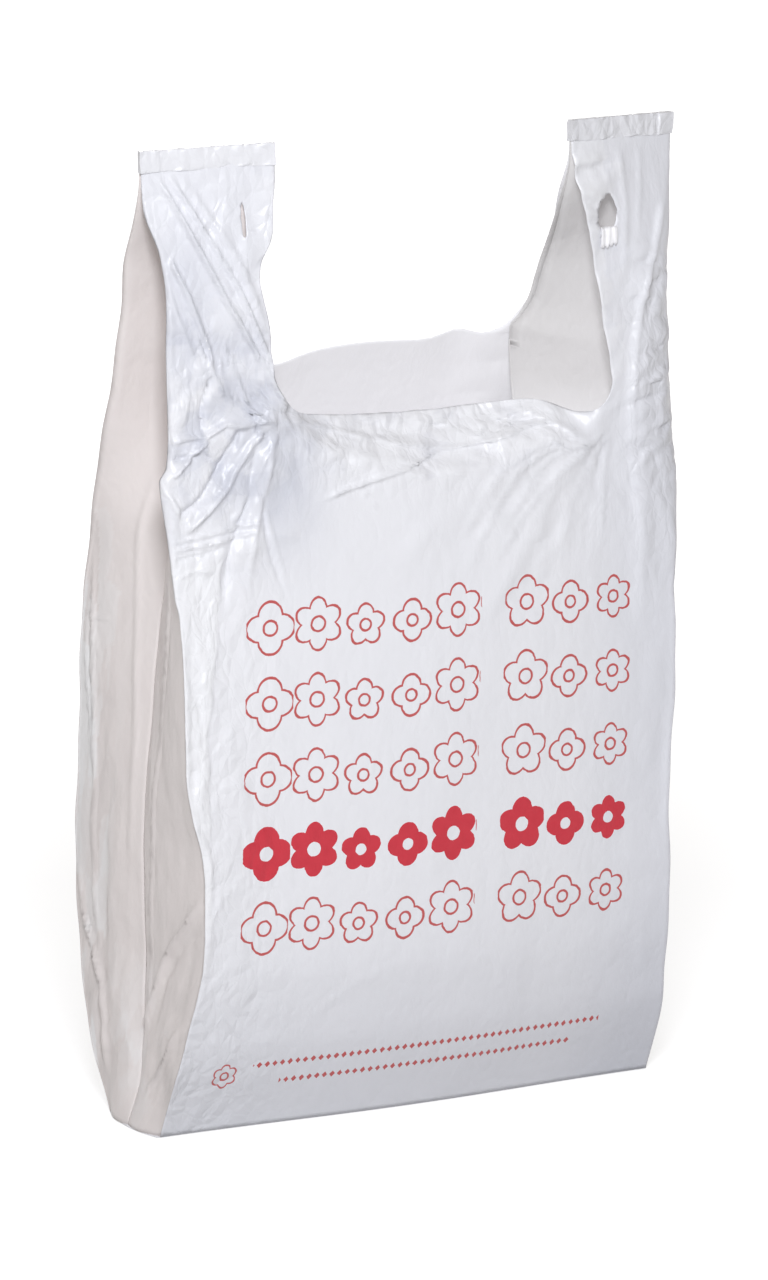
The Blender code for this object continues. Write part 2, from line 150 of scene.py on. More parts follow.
# Outer fold of the left front edge, as (level, distance from the middle)
LEFT_EDGE = (
    (0.000, 0.1445), (0.030, 0.1437), (0.060, 0.1405), (0.079, 0.1370), (0.096, 0.1345),
    (0.112, 0.1338), (0.140, 0.1335), (0.156, 0.1350), (0.176, 0.1400), (0.198, 0.1430),
    (0.240, 0.1430), (0.279, 0.1442), (0.291, 0.1462), (0.317, 0.1478), (0.338, 0.1500),
    (0.349, 0.1508), (0.356, 0.1468), (0.372, 0.1452), (0.412, 0.1452), (0.442, 0.1442),
    (0.463, 0.1462), (0.490, 0.1535), (0.502, 0.1538), (0.520, 0.1540))

# Free edge of the film folded over along the left front edge, in metres
STRIP_LINE = np.array((
    (-0.118, 0.318), (-0.121, 0.288), (-0.124, 0.262), (-0.127, 0.237), (-0.1295, 0.216),
    (-0.1295, 0.195), (-0.130, 0.169), (-0.130, 0.143), (-0.130, 0.117), (-0.131, 0.084)))


def smooth_step(value, start, end):
    """Rise from 0 to 1 between start and end, level at both: three squares less two cubes."""
    share = np.clip((value - start) / (end - start), 0, 1)
    return share * share * (3 - 2 * share)


def bell(value, centre, width):
    """Bell curve of height 1: e to the power of minus the squared distance in widths."""
    return np.exp(-((value - centre) / width) ** 2)


def through(value, stations):
    """Smooth curve through (place, size) stations, with no overshoot at a peak.

    Between two stations it is a cubic. Its slope at a station is the harmonic mean of the slopes on
    both sides, or none at a peak.
    """
    place, size = np.array(stations, float).T
    rise = np.diff(size) / np.diff(place)
    slope = np.zeros_like(size)
    same_way = rise[1:] * rise[:-1] > 0
    middle = 2 * rise[1:] * rise[:-1] / np.where(same_way, rise[1:] + rise[:-1], 1)
    slope[1:-1] = np.where(same_way, middle, 0)
    slope[0], slope[-1] = rise[0], rise[-1]
    value = np.clip(value, place[0], place[-1])
    index = np.clip(np.searchsorted(place, value) - 1, 0, len(place) - 2)
    width = place[index + 1] - place[index]
    share = (value - place[index]) / width
    first = (1 + 2 * share) * (1 - share) ** 2 * size[index]
    second = share ** 2 * (3 - 2 * share) * size[index + 1]
    start_slope = share * (1 - share) ** 2 * slope[index]
    end_slope = share ** 2 * (share - 1) * slope[index + 1]
    return first + second + width * (start_slope + end_slope)


# Creases

def polyline(across, level, points):
    """Distance to a line of points, the signed offset from it and the share of its length.

    Each straight piece is tried in turn and the nearest one counts. The first and the last run on
    past the line's ends.
    """
    points = np.array(points, float)
    steps = np.diff(points, axis=0)
    lengths = np.hypot(*steps.T)
    starts = np.concatenate([[0], np.cumsum(lengths)])
    distance = np.full(across.shape, 1e3)
    signed = np.zeros(across.shape)
    share = np.zeros(across.shape)
    for index, (step, length) in enumerate(zip(steps, lengths)):
        off_x = across - points[index, 0]
        off_z = level - points[index, 1]
        along = (off_x * step[0] + off_z * step[1]) / length ** 2
        low = 0.0 if index else -9.0
        high = 1.0 if index < len(steps) - 1 else 9.0
        clipped = np.clip(along, low, high)
        gap = np.hypot(off_x - clipped * step[0], off_z - clipped * step[1])
        nearer = gap < distance
        distance = np.where(nearer, gap, distance)
        side = np.sign(off_z * step[0] - off_x * step[1])
        signed = np.where(nearer, side * gap, signed)
        share = np.where(nearer, (starts[index] + clipped * length) / starts[-1], share)
    return distance, signed, share


def crease(across, level, points, width, height, ends=(0.15, 0.15)):
    """Sharp fold along a line: flat flanks that meet in a narrow rounded edge.

    Sizes are in millimetres. The height fades over the given shares of the length at both ends.
    """
    distance, _, share = polyline(across, level, np.array(points, float) / 1000)
    width = CREASE_NARROWING * width / 1000
    rounded = np.sqrt(distance ** 2 + (0.12 * width) ** 2) - 0.12 * width
    flank = np.clip(1 - rounded / width, 0, 1)
    flank = flank * (0.35 + 0.65 * flank)
    fade = smooth_step(share, -0.25 * ends[0], ends[0])
    fade = fade * (1 - smooth_step(share, 1 - ends[1], 1 + 0.25 * ends[1]))
    return height / 1000 * fade * flank


def lap(across, level, points, width, height, ends=(0.08, 0.08)):
    """Film raised on one side of a line, such as the edge of a folded layer; sizes in millimetres.

    The rise is half of 1 plus the offset divided by the length of (offset, width).
    """
    _, signed, share = polyline(across, level, np.array(points, float) / 1000)
    width = width / 1000
    raised = 0.5 * (1 + signed / np.sqrt(signed ** 2 + width ** 2))
    fade = smooth_step(share, 0, ends[0]) * (1 - smooth_step(share, 1 - ends[1], 1))
    return height / 1000 * fade * raised


def scattered(cell_u, cell_v, seed):
    """Even scatter from 0 to 1, the same for a cell each time: the fraction of a large sine."""
    wave = np.sin(cell_u * 127.1 + cell_v * 311.7 + seed * 74.7) * 43758.5453
    return wave - np.floor(wave)


def crumple(across, level, seed, spacing, height, mask, stretch=(1.0, 1.0), turn=0.0, even=False):
    """Flat facets of crumpled film.

    Scattered points get random heights, a Delaunay net joins them, and the film lies on the net's
    flat triangles. Spacing and height are in millimetres, and mask gives each point's share. The
    points belong to fixed cells, so neighbouring patches of film get the same facets. Even gives
    each triangle one value, the mean of its corners'.
    """
    spacing = spacing / 1000
    along, beside = np.cos(turn), np.sin(turn)
    u = (across * along + level * beside) / stretch[0]
    v = (level * along - across * beside) / stretch[1]
    cells_u = np.arange(np.floor(u.min() / spacing) - 2, np.ceil(u.max() / spacing) + 3)
    cells_v = np.arange(np.floor(v.min() / spacing) - 2, np.ceil(v.max() / spacing) + 3)
    cell_u, cell_v = [grid.ravel() for grid in np.meshgrid(cells_u, cells_v)]
    shift = [0.84 * (scattered(cell_u, cell_v, seed + extra) - 0.5) for extra in (0.0, 17.0)]
    points = np.stack([cell_u + shift[0], cell_v + shift[1]], axis=1) * spacing
    heights = 2 * scattered(cell_u, cell_v, seed + 41.0) - 1
    x = points[:, 0] * stretch[0] * along - points[:, 1] * stretch[1] * beside
    z = points[:, 0] * stretch[0] * beside + points[:, 1] * stretch[1] * along
    heights = heights * mask(x, z) * height / 1000
    net = delaunay_2d_cdt([Vector(p) for p in points.tolist()], [], [], 0, 1e-7)
    corners = np.array([tuple(p) for p in net[0]])
    value = heights[np.array([sources[0] if sources else 0 for sources in net[3]])]
    result = np.zeros(u.shape)
    flat_u, flat_v, out = u.ravel(), v.ravel(), result.ravel()
    order = np.argsort(flat_v)
    sorted_v = flat_v[order]
    for a, b, c in net[2]:
        if not (value[a] or value[b] or value[c]):
            continue
        pa, pb, pc = corners[a], corners[b], corners[c]
        first = np.searchsorted(sorted_v, min(pa[1], pb[1], pc[1]))
        last = np.searchsorted(sorted_v, max(pa[1], pb[1], pc[1]))
        chosen = order[first:last]
        du, dv = flat_u[chosen] - pa[0], flat_v[chosen] - pa[1]
        det = (pb[0] - pa[0]) * (pc[1] - pa[1]) - (pc[0] - pa[0]) * (pb[1] - pa[1])
        s = (du * (pc[1] - pa[1]) - dv * (pc[0] - pa[0])) / det
        t = (dv * (pb[0] - pa[0]) - du * (pb[1] - pa[1])) / det
        inside = (s >= 0) & (t >= 0) & (s + t <= 1)
        hit = chosen[inside]
        s, t = (1 / 3, 1 / 3) if even else (s[inside], t[inside])
        out[hit] = value[a] + s * (value[b] - value[a]) + t * (value[c] - value[a])
    return out.reshape(u.shape)


def ridge(across, level, start, end, width, height):
    """Soft raised fold from start to end, a bell across its line and tapered along it."""
    run = np.subtract(end, start)
    length = np.hypot(*run)
    along = ((across - start[0]) * run[0] + (level - start[1]) * run[1]) / length ** 2
    beside = ((across - start[0]) * run[1] - (level - start[1]) * run[0]) / length
    taper = smooth_step(along, -0.12, 0.15) * (1 - smooth_step(along, 0.85, 1.12))
    return height * taper * np.exp(-(beside / width) ** 2)


# Film

def front_depth(level):
    """How far the front panel's folds stand in front of the middle of the base."""
    closing = TOP_LEAN + 1.5 * LAYER_PITCH
    return through(level, (
        (0.0, BASE_FRONT),
        (0.5 * BELLY_HEIGHT, 0.25 * BASE_FRONT + 0.75 * BELLY_FRONT),
        (BELLY_HEIGHT, BELLY_FRONT),
        (SHOULDER_HEIGHT, SHOULDER_FRONT),
        (FRONT_RIM, RIM_FRONT),
        (0.5 * (BACK_RIM_HEIGHT + SEAL_FOOT), 0.5 * (RIM_FRONT + closing) + SLACK_FRONT),
        (SEAL_FOOT, closing),
        (HANDLE_TOP, closing)))


def back_depth(level):
    """How far the back panel's folds stand behind the middle of the base."""
    closing = 1.5 * LAYER_PITCH - TOP_LEAN
    return through(level, (
        (0.0, BASE_BACK),
        (0.4 * BELLY_HEIGHT, 0.35 * BASE_BACK + 0.65 * BELLY_BACK),
        (BELLY_HEIGHT, BELLY_BACK),
        (SHOULDER_HEIGHT, SHOULDER_BACK),
        (BACK_RIM_HEIGHT, RIM_BACK),
        (0.5 * (BACK_RIM_HEIGHT + SEAL_FOOT), 0.5 * (RIM_BACK + closing) + SLACK_BACK),
        (SEAL_FOOT, closing),
        (HANDLE_TOP, closing)))


def front_level(level):
    """Height of the front film at a level: it slouches below the back film at the mouth."""
    up = smooth_step(level, SHOULDER_HEIGHT - 0.06, BACK_RIM_HEIGHT)
    down = smooth_step(level, BACK_RIM_HEIGHT, SEAL_FOOT)
    return level - FRONT_RIM_DROP * (up - down)


def roll_radius(level, side, front):
    """Radius that the strap's outer edge is rolled to: widest on the right front strap."""
    gap = front_depth(level) + back_depth(level) - 3 * LAYER_PITCH
    share = ROLLED_SHARE if (side == RIGHT and front) else SOFT_SHARE
    swell = smooth_step(level, SHOULDER_HEIGHT, BACK_RIM_HEIGHT)
    return FOLD_RADIUS + share * swell * np.clip(gap, 0, None)


def fold_reach(level, side, front):
    """Distance of a side fold from the middle.

    The left front fold follows its own outline. The others stand at half the panel's width, plus
    the handles' splay and the rolled edge's swell, less the pinch low down and the waist.
    """
    splay = TOP_SPLAY * smooth_step(level, BACK_RIM_HEIGHT + 0.03, SEAL_FOOT)
    swell = ROLL_SWELL * (roll_radius(level, side, front) - FOLD_RADIUS)
    if side == LEFT and front:
        return through(front_level(level), LEFT_EDGE)
    pinch = RIGHT_PINCH * smooth_step(level, 0.0, BELLY_HEIGHT) if front else 0
    pinch = pinch * (1 - smooth_step(level, BELLY_HEIGHT + 0.03, SHOULDER_HEIGHT))
    uneven = 0.0005 * np.sin(level * 61 + side) + 0.0003 * np.sin(level * 147 + 2 * side)
    uneven = uneven * (1 - smooth_step(level, SEAL_FOOT - 0.03, SEAL_FOOT))
    waist = RIGHT_WAIST * bell(level, RIGHT_WAIST_HEIGHT, RIGHT_WAIST_REACH)
    waist = waist if side == RIGHT and front else 0
    return HALF_WIDTH - pinch + splay + swell - waist + uneven * smooth_step(level, 0.0, 0.03)


def strap_width(level, side, front):
    """Film width from the outer fold to the die-cut edge, with the mouth's rounded corner.

    It widens smoothly from root to top, less a bell at the waist, plus a quarter circle at the foot.
    """
    taper = smooth_step(level, BACK_RIM_HEIGHT, SEAL_FOOT)
    straight = STRAP_ROOT_WIDTH + (STRAP_TOP_WIDTH - STRAP_ROOT_WIDTH) * taper
    if side == LEFT and front:
        straight = straight - WAIST_DEPTH * bell(level, WAIST_HEIGHT, WAIST_REACH)
    if side == RIGHT and not front:
        straight = straight - BACK_WAIST_DEPTH * bell(level, BACK_WAIST_HEIGHT, BACK_WAIST_REACH)
    radius = RIGHT_CORNER_RADIUS if side == RIGHT and front else MOUTH_CORNER_RADIUS
    below = np.clip(BACK_RIM_HEIGHT + radius - level, 0, radius)
    return straight + radius - np.sqrt(radius ** 2 - below ** 2)


def rolled_edge(distance, radius):
    """Place on a strip of film whose edge turns back by a quarter circle, then runs straight."""
    turn = radius * np.pi / 2
    angle = (1 - np.clip(distance / turn, 0, 1)) * np.pi / 2
    inward = radius * (1 - np.sin(angle)) + np.clip(distance - turn, 0, None)
    return inward, radius * (1 - np.cos(angle))


def handle_middle():
    """Distance of each seal strip's middle from the bag's middle."""
    return HALF_WIDTH + TOP_SPLAY - STRAP_TOP_WIDTH / 2


def strip_turn(across, level):
    """Yaw of each handle about its own middle: inner ends come forward, outer ends go back.

    The shift is the distance from the handle's middle times the tangent of the yaw.
    """
    share = smooth_step(level, BACK_RIM_HEIGHT - 0.02, SEAL_FOOT)
    return share * tan(STRIP_YAW) * (np.abs(across) - handle_middle())


def strip_lower(across, level):
    """Drop of each handle's outer side, from the handles' outward lean."""
    share = smooth_step(level, BACK_RIM_HEIGHT, SEAL_FOOT)
    return share * tan(STRIP_TILT) * (np.abs(across) - handle_middle())


def panel_columns(level, side, front, columns):
    """Across and depth places of one side's columns, from the outer fold to the cut edge."""
    width = strap_width(np.maximum(level, BACK_RIM_HEIGHT), side, front)[:, None]
    radius = roll_radius(level, side, front)[:, None]
    first = np.minimum(radius * np.pi / 2, width / columns)
    distance = first + (width - first) * np.linspace(0, 1, columns)[None, :]
    inward, behind = rolled_edge(np.hstack([0 * first, distance]), radius)
    return side * (fold_reach(level, side, front)[:, None] - inward), behind


def corner_dip(across, level):
    """Drop of the front rim at the mouth's right corner, where the film is pulled down."""
    zone = smooth_step(level, FRONT_RIM - 0.080, FRONT_RIM - 0.005)
    zone = zone * (1 - smooth_step(level, FRONT_RIM + 0.005, FRONT_RIM + 0.060))
    return CORNER_DIP * zone * bell(across, CORNER_DIP_PLACE, CORNER_DIP_REACH)


def lip(across, level):
    """Front film above the arc of the lip: how far it leans back, and how much lower that puts it.

    The height above the fold, squared and divided by itself plus the bend's size, is the length that
    leans. Its sine part goes back and the rest of it is lost in height.
    """
    rim = front_level(np.array(BACK_RIM_HEIGHT))
    half_span = HALF_WIDTH - 0.9 * STRAP_ROOT_WIDTH
    offset = np.clip(np.abs(across - LIP_CENTRE) / half_span, 0, 1)
    fold = rim - LIP_LENGTH * (1 - offset ** 2) ** 0.8
    above = np.clip(np.minimum(level, rim) - fold, 0, None)
    above = above * (1 - smooth_step(level, rim, rim + MOUTH_CORNER_RADIUS))
    bent = above ** 2 / (above + LIP_BEND)
    return bent * sin(LIP_LEAN), bent * (1 - cos(LIP_LEAN))


def front_swell(across, level):
    """Soft folds of the front panel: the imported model's own, less on the left, where creases are.

    A squared cosine across the panel, plus a tapered ridge for each pull, given by its start, end,
    width and height.
    """
    left_corner = (STRAP_ROOT_WIDTH - HALF_WIDTH + 0.004, FRONT_RIM + 0.008)
    right_corner = (HALF_WIDTH - 0.75 * STRAP_ROOT_WIDTH, FRONT_RIM - 0.008)
    left_fold = 0.006 - HALF_WIDTH
    relief = 0.005 * np.cos(np.clip(across / HALF_WIDTH, -1, 1) * np.pi / 2) ** 2
    relief = relief * (1 - smooth_step(level, FRONT_RIM, FRONT_RIM + 0.03))
    pulls = (
        ((left_fold + 0.004, SEAL_FOOT - 0.016), left_corner, 0.0055, 0.0030),
        ((left_fold + 0.026, SEAL_FOOT - 0.022), left_corner, 0.0050, 0.0020),
        ((left_fold, FRONT_RIM + 0.052), (left_fold + 0.034, FRONT_RIM - 0.012), 0.0060, 0.0030),
        ((left_fold, FRONT_RIM - 0.018), (left_fold + 0.052, FRONT_RIM - 0.002), 0.0060, 0.0035),
        ((left_fold, FRONT_RIM - 0.046), (left_fold + 0.060, FRONT_RIM - 0.026), 0.0065, 0.0035),
        ((left_fold, FRONT_RIM - 0.078), (left_fold + 0.068, FRONT_RIM - 0.058), 0.0055, 0.0020),
        ((left_fold + 0.030, FRONT_RIM - 0.100), left_corner, 0.0070, 0.0030),
        ((right_corner[0] - 0.130, FRONT_RIM - 0.082), right_corner, 0.0070, 0.0016),
        ((right_corner[0] - 0.070, FRONT_RIM - 0.110), right_corner, 0.0065, 0.0014),
        ((0.132, FRONT_RIM + 0.080), (0.126, FRONT_RIM - 0.120), 0.0060, 0.0020))
    for start, end, width, height in pulls:
        share = 0.45 if start[0] < 0 else 1.0
        relief = relief + share * ridge(across, level, start, end, width, height)
    return relief


def front_creases(across, level):
    """Creases of the front panel, as a depth in front of its plane: the sum of the listed folds.

    Each fold has its line, its width, its height and the shares of its length over which it fades
    at both ends. Lines, widths and heights are in millimetres.
    """
    depth = 0 * across
    # left handle: two taut folds from the outer end of the weld to the mouth's corner
    lines = (
        (((-147, 507), (-114, 440), (-80, 381)), 3.2, 2.0, (0.04, 0.04)),
        (((-141, 507), (-106, 444), (-82, 389)), 2.6, 1.6, (0.04, 0.06)),
        (((-131, 500), (-108, 462), (-90, 420)), 5.0, 0.9, (0.2, 0.3)),
        (((-142, 462), (-133, 442), (-123, 415), (-121, 403)), 4.5, 1.8, (0.05, 0.10)),
        (((-146, 456), (-140, 436), (-131, 410)), 3.5, 0.8, (0.2, 0.2)),
        # knot at the strap's root and its spokes
        (((-146, 401), (-133, 402), (-122, 403)), 3.2, 1.6, (0.05, 0.02)),
        (((-122, 403), (-114, 409), (-108, 413)), 2.8, 1.4, (0.02, 0.40)),
        (((-122, 403), (-128, 418), (-131, 428)), 2.8, 1.1, (0.02, 0.40)),
        (((-122, 403), (-116, 393), (-104, 386)), 3.2, 1.6, (0.02, 0.10)),
        (((-122, 403), (-127, 388), (-127, 372)), 4.5, -1.9, (0.02, 0.12)),
        (((-122, 403), (-137, 390), (-145, 381)), 3.6, 1.1, (0.02, 0.20)),
        (((-102, 386), (-110, 405), (-116, 420)), 3.0, 1.2, (0.02, 0.30)),
        (((-102, 386), (-94, 391), (-90, 398)), 2.4, -1.2, (0.02, 0.30)),
        (((-104, 388), (-99, 392), (-93, 390), (-92, 383)), 2.0, 1.3, (0.05, 0.05)),
        (((-102, 385), (-95, 378), (-86, 375)), 2.8, 1.5, (0.02, 0.20)),
        (((-100, 382), (-97, 372), (-90, 368)), 2.6, -1.2, (0.05, 0.20)),
        # folds across the root of the strap
        (((-146, 369), (-136, 371), (-126, 371), (-115, 377), (-106, 375), (-90, 377)),
         4.0, 2.0, (0.02, 0.12)),
        (((-144, 352), (-134, 362), (-125, 369)), 4.0, 1.7, (0.04, 0.06)),
        (((-145, 360), (-128, 362), (-118, 356)), 5.0, -1.5, (0.05, 0.20)),
        (((-106, 374), (-118, 354), (-128, 340), (-142, 331)), 7.0, -2.6, (0.05, 0.08)),
        (((-94, 371), (-101, 365), (-115, 344), (-126, 333), (-140, 322)), 6.0, 2.0, (0.05, 0.12)),
        (((-85, 370), (-97, 352), (-108, 330), (-120, 322)), 5.0, 0.9, (0.10, 0.30)),
        (((-152, 347), (-146, 340), (-141, 330)), 4.0, 1.4, (0.02, 0.30)),
        (((-146, 318), (-124, 321), (-98, 325)), 2.2, 1.2, (0.02, 0.15)),
        (((-146, 314), (-124, 316), (-99, 321)), 2.2, 1.2, (0.02, 0.15)),
        (((-146, 309), (-128, 311), (-112, 315)), 2.4, -0.9, (0.02, 0.30)),
        (((-146, 300), (-134, 303), (-122, 302)), 2.6, 0.7, (0.02, 0.40)),
        # long valleys below the mouth's left corner
        (((-97, 365), (-103, 337), (-115, 308), (-119, 283)), 7.0, -1.6, (0.10, 0.20)),
        (((-88, 366), (-95, 340), (-101, 318), (-105, 292)), 5.0, 0.9, (0.10, 0.40)),
        (((-96, 347), (-94, 316), (-84, 285)), 4.5, -0.9, (0.20, 0.40)),
        (((-96, 337), (-90, 316), (-83, 292)), 3.0, 0.5, (0.20, 0.40)),
        (((-56, 352), (-48, 348), (-37, 336), (-29, 320)), 2.2, 0.7, (0.10, 0.40)),
        (((-70, 362), (-62, 345), (-60, 330)), 2.2, 0.45, (0.10, 0.50)),
        (((-46, 350), (-50, 338), (-62, 332)), 2.2, 0.5, (0.10, 0.50)),
        # lip: the fold across it and the puckers beside it
        (((-62, 333), (-47, 338), (-15, 345), (13, 355), (45, 358), (66, 363), (79, 367)),
         3.0, 1.6, (0.08, 0.06)),
        (((-72, 376), (-38, 368), (-8, 360), (18, 356)), 4.0, 1.3, (0.10, 0.20)),
        (((10, 374), (28, 366), (43, 355)), 3.0, 1.1, (0.10, 0.10)),
        (((61, 376), (52, 366), (44, 357)), 3.0, 1.2, (0.02, 0.10)),
        (((61, 376), (74, 368), (92, 362)), 2.6, 1.0, (0.02, 0.20)),
        (((44, 371), (56, 364), (72, 368)), 2.4, -0.9, (0.10, 0.10)),
        (((33, 362), (38, 364), (44, 358)), 1.8, 0.9, (0.10, 0.10)),
        (((66, 363), (72, 357), (80, 352)), 2.2, 0.9, (0.10, 0.20)),
        (((72, 366), (80, 359), (86, 358)), 2.0, -0.8, (0.10, 0.20)),
        (((-8, 352), (-4, 345), (-2, 337)), 2.4, 0.7, (0.10, 0.40)),
        # right strap: its rolled side and the pulls below the mouth's right corner
        (((146, 472), (140, 452), (131, 425), (126, 403), (123, 369), (124, 330)),
         6.0, 1.5, (0.05, 0.40)),
        (((96, 506), (108, 490), (116, 470)), 2.6, 0.5, (0.10, 0.40)),
        (((118, 505), (121, 470), (118, 430)), 5.0, 0.8, (0.10, 0.40)),
        (((133, 505), (131, 480), (127, 450)), 4.0, 0.6, (0.10, 0.40)),
        (((104, 366), (78, 337), (53, 313), (40, 293)), 3.2, 1.1, (0.03, 0.30)),
        (((100, 364), (66, 338), (57, 326), (44, 309)), 2.8, 1.0, (0.03, 0.30)),
        (((98, 362), (54, 339), (35, 315), (22, 295)), 3.2, 1.0, (0.05, 0.30)),
        (((92, 360), (43, 340), (30, 325), (18, 306)), 2.8, 0.8, (0.05, 0.30)),
        (((106, 362), (84, 318), (70, 285)), 3.4, 0.8, (0.03, 0.40)),
        (((107, 362), (97, 320), (90, 282)), 3.4, -0.7, (0.03, 0.40)),
        (((108, 362), (105, 329), (101, 290)), 3.4, 0.9, (0.03, 0.40)),
        # faint folds low on the panel
        (((-72, 62), (-48, 78), (-18, 88)), 2.6, 0.5, (0.20, 0.40)),
        (((-130, 87), (-120, 95), (-104, 98)), 2.4, 0.6, (0.10, 0.40)),
        (((-131, 120), (-124, 132), (-112, 140)), 2.6, 0.8, (0.10, 0.30)),
        (((-129, 182), (-118, 188), (-108, 196)), 2.4, 0.7, (0.10, 0.30)),
        (((-128, 205), (-118, 214), (-112, 226)), 2.4, 0.6, (0.10, 0.40)))
    for points, width, height, ends in lines:
        depth = depth + crease(across, level, points, width, CREASE_GAIN * height, ends)
    wobble = 0.0008 * np.sin(level * 210) + 0.0003 * np.sin(level * 1130 + 1)
    strip = 1000 * STRIP_LINE
    depth = depth - lap(across + wobble, level, strip, 0.5, 1.2, (0.12, 0.10))
    inner = crease(across + 0.004 + 1.5 * wobble, level, strip, 2.2, 0.8, (0.12, 0.10))
    return depth + inner


def root_share(x, z):
    """Share of the crumple at the left strap's root: a bell across times a bell in level."""
    return np.minimum(1, 1.3 * bell(x, -0.122, 0.036) * bell(z, 0.372, 0.050))


def lip_share(x, z):
    """Share of the crumple on the lip, above its fold."""
    half_span = HALF_WIDTH - 0.9 * STRAP_ROOT_WIDTH
    offset = np.clip(np.abs(x - LIP_CENTRE) / half_span, 0, 1)
    fold = FRONT_RIM - LIP_LENGTH * (1 - offset ** 2) ** 0.8
    return smooth_step(z, fold - 0.003, fold + 0.006) * (offset < 1)


def front_crumple(across, level):
    """Crumpled facets of the front panel: strongest at the left strap's root and on the lip."""
    def below_weld(x, z):
        """Inner half of the left strap, and a band below its weld."""
        inner = bell(x, -0.100, 0.016) * bell(z, 0.470, 0.034)
        return inner + 0.5 * bell(x, -0.118, 0.024) * bell(z, 0.497, 0.012)

    def edge_strip(x, z):
        """Folded-over strip along the left front edge."""
        return bell(x, -0.137, 0.008) * smooth_step(z, 0.07, 0.10) * (1 - smooth_step(z, 0.32, 0.35))

    def rolled_side(x, z):
        """Rolled outer side of the right strap."""
        strap = smooth_step(x, 0.120, 0.130) * smooth_step(z, 0.30, 0.36)
        return strap * (1 - smooth_step(z, 0.440, 0.470))

    def below_corner(x, z):
        """Patch below the mouth's right corner."""
        return bell(x, 0.055, 0.050) * bell(z, 0.315, 0.035)

    def all_over(x, z):
        """Whole panel, more towards its sides and less on the straps."""
        edge = 0.35 + 0.65 * smooth_step(np.abs(x), 0.09, 0.14)
        return edge * (1 - 0.5 * smooth_step(z, 0.40, 0.43))

    # seed, spacing, height, place, stretch, turn
    layers = (
        (4, 17, 1.5, root_share, (0.9, 1.1), 0.5),
        (9, 8, 0.9, root_share, (1.2, 0.9), 0.8),
        (15, 8, 1.4, below_weld, (0.7, 1.3), 0.2),
        (21, 11, 2.4, lip_share, (1.6, 0.8), 0.25),
        (22, 6, 1.3, lip_share, (1.4, 0.8), -0.2),
        (27, 9, 1.7, edge_strip, (0.7, 1.7), 0.0),
        (33, 6, 1.9, rolled_side, (1.6, 0.8), 0.2),
        (39, 8, 1.0, below_corner, (0.7, 1.5), -0.6),
        (45, 30, 1.2, all_over, (0.8, 1.6), 0.1),
        (47, 12, 0.5, all_over, (0.8, 1.5), 0.3))
    return layered(across, level, layers)


def layered(across, level, layers, even=False):
    """Sum of several crumples; each layer is what crumple takes after the two places."""
    total = 0 * across
    for layer in layers:
        total = total + crumple(across, level, *layer, even=even)
    return total


def front_shade_and_layer_tone(across, level):
    """Tone of the front film: above 0 whiter, below 0 greyer, as painted shade and painted highlight
    and as film lying double or single.

    Each facet of the crumple has one tone, partly as film lies double or single behind it and partly
    as painted facet shading. Soft steps and bells add painted shade to whole places and a painted
    highlight to the lip, and the folded-over strip is whiter, with a frayed foot.
    """
    # whiter and greyer facets: partly film lying double or single, partly painted facet shading
    # heights are a thousand times the tone, because crumple takes them in millimetres
    layers = (
        (4, 17, 1000, root_share, (0.9, 1.1), 0.5),
        (9, 8, 600, root_share, (1.2, 0.9), 0.8),
        (21, 11, 450, lip_share, (1.6, 0.8), 0.25),
        (22, 6, 350, lip_share, (1.4, 0.8), -0.2))
    tone = layered(across, level, layers, True)
    # painted highlight: the whole lip whiter
    tone = tone + 0.25 * lip_share(across, level)
    # painted shade: the right side of the panel greyer, less so at the mouth
    right = smooth_step(across, 0.070, 0.145)
    tone = tone - right * (0.45 - 0.15 * smooth_step(level, 0.34, 0.40))
    # painted shade on the left strap, at its root and below the mouth's left corner
    left = smooth_step(-across, 0.080, 0.105) * smooth_step(level, 0.36, 0.42)
    tone = tone - 0.30 * left - 0.65 * root_share(across, level)
    tone = tone - 0.80 * bell(across, -0.084, 0.022) * bell(level, 0.345, 0.035)
    # painted shade at the foot of the panel and at the left strap's waist
    tone = tone - 0.30 * (1 - smooth_step(level, 0.02, 0.14))
    tone = tone - 0.30 * bell(across, -0.134, 0.012) * bell(level, 0.455, 0.030)
    strip = polyline(across, level, STRIP_LINE)[1]
    inside = 1 - smooth_step(strip, -0.0006, 0.0006)
    ends = smooth_step(level, 0.084, 0.112) * (1 - smooth_step(level, 0.300, 0.320))
    frayed = 0.5 + 0.5 * np.sin(across * 5200 + 9 * np.sin(level * 300))
    frayed = frayed + (1 - frayed) * smooth_step(level, 0.112, 0.135)
    return np.clip(tone, -1.0, 0.8) + 0.7 * inside * ends * frayed


def gusset_foot(depth, level):
    """Share of the crumple at a gusset's foot: a bell in level."""
    return bell(level, 0.035, 0.045)


def gusset_painted_shading(depth, level, side):
    """Tone of a gusset: a painted highlight of whiter facets towards the back fold, painted shade
    beside the front fold's foot and, on the right gusset, inside the mouth.
    """
    def highlight_lobe(y, z):
        """Part beside the back fold, below the mouth, that gets the painted highlight."""
        return smooth_step(y, 0.020, 0.044) * (1 - smooth_step(z, 0.28, 0.33))

    # whiter and greyer facets as painted facet shading: whiter on the back lobe, both ways at the foot
    layers = (
        (67 + side, 13, 1600, highlight_lobe, (0.5, 2.4), 0.1),
        (71 + side, 10, 700, gusset_foot, (0.9, 1.3), 0.4))
    tone = 0.35 * highlight_lobe(depth, level) + layered(depth, level, layers, True)
    # painted shade beside the front fold's foot, and on the right gusset inside the mouth
    front = smooth_step(-depth, 0.005, 0.050) * (1 - smooth_step(level, 0.10, 0.16))
    mouth = 0.65 * smooth_step(level, 0.33, 0.38) * (side == RIGHT)
    return tone - 0.25 * front - mouth


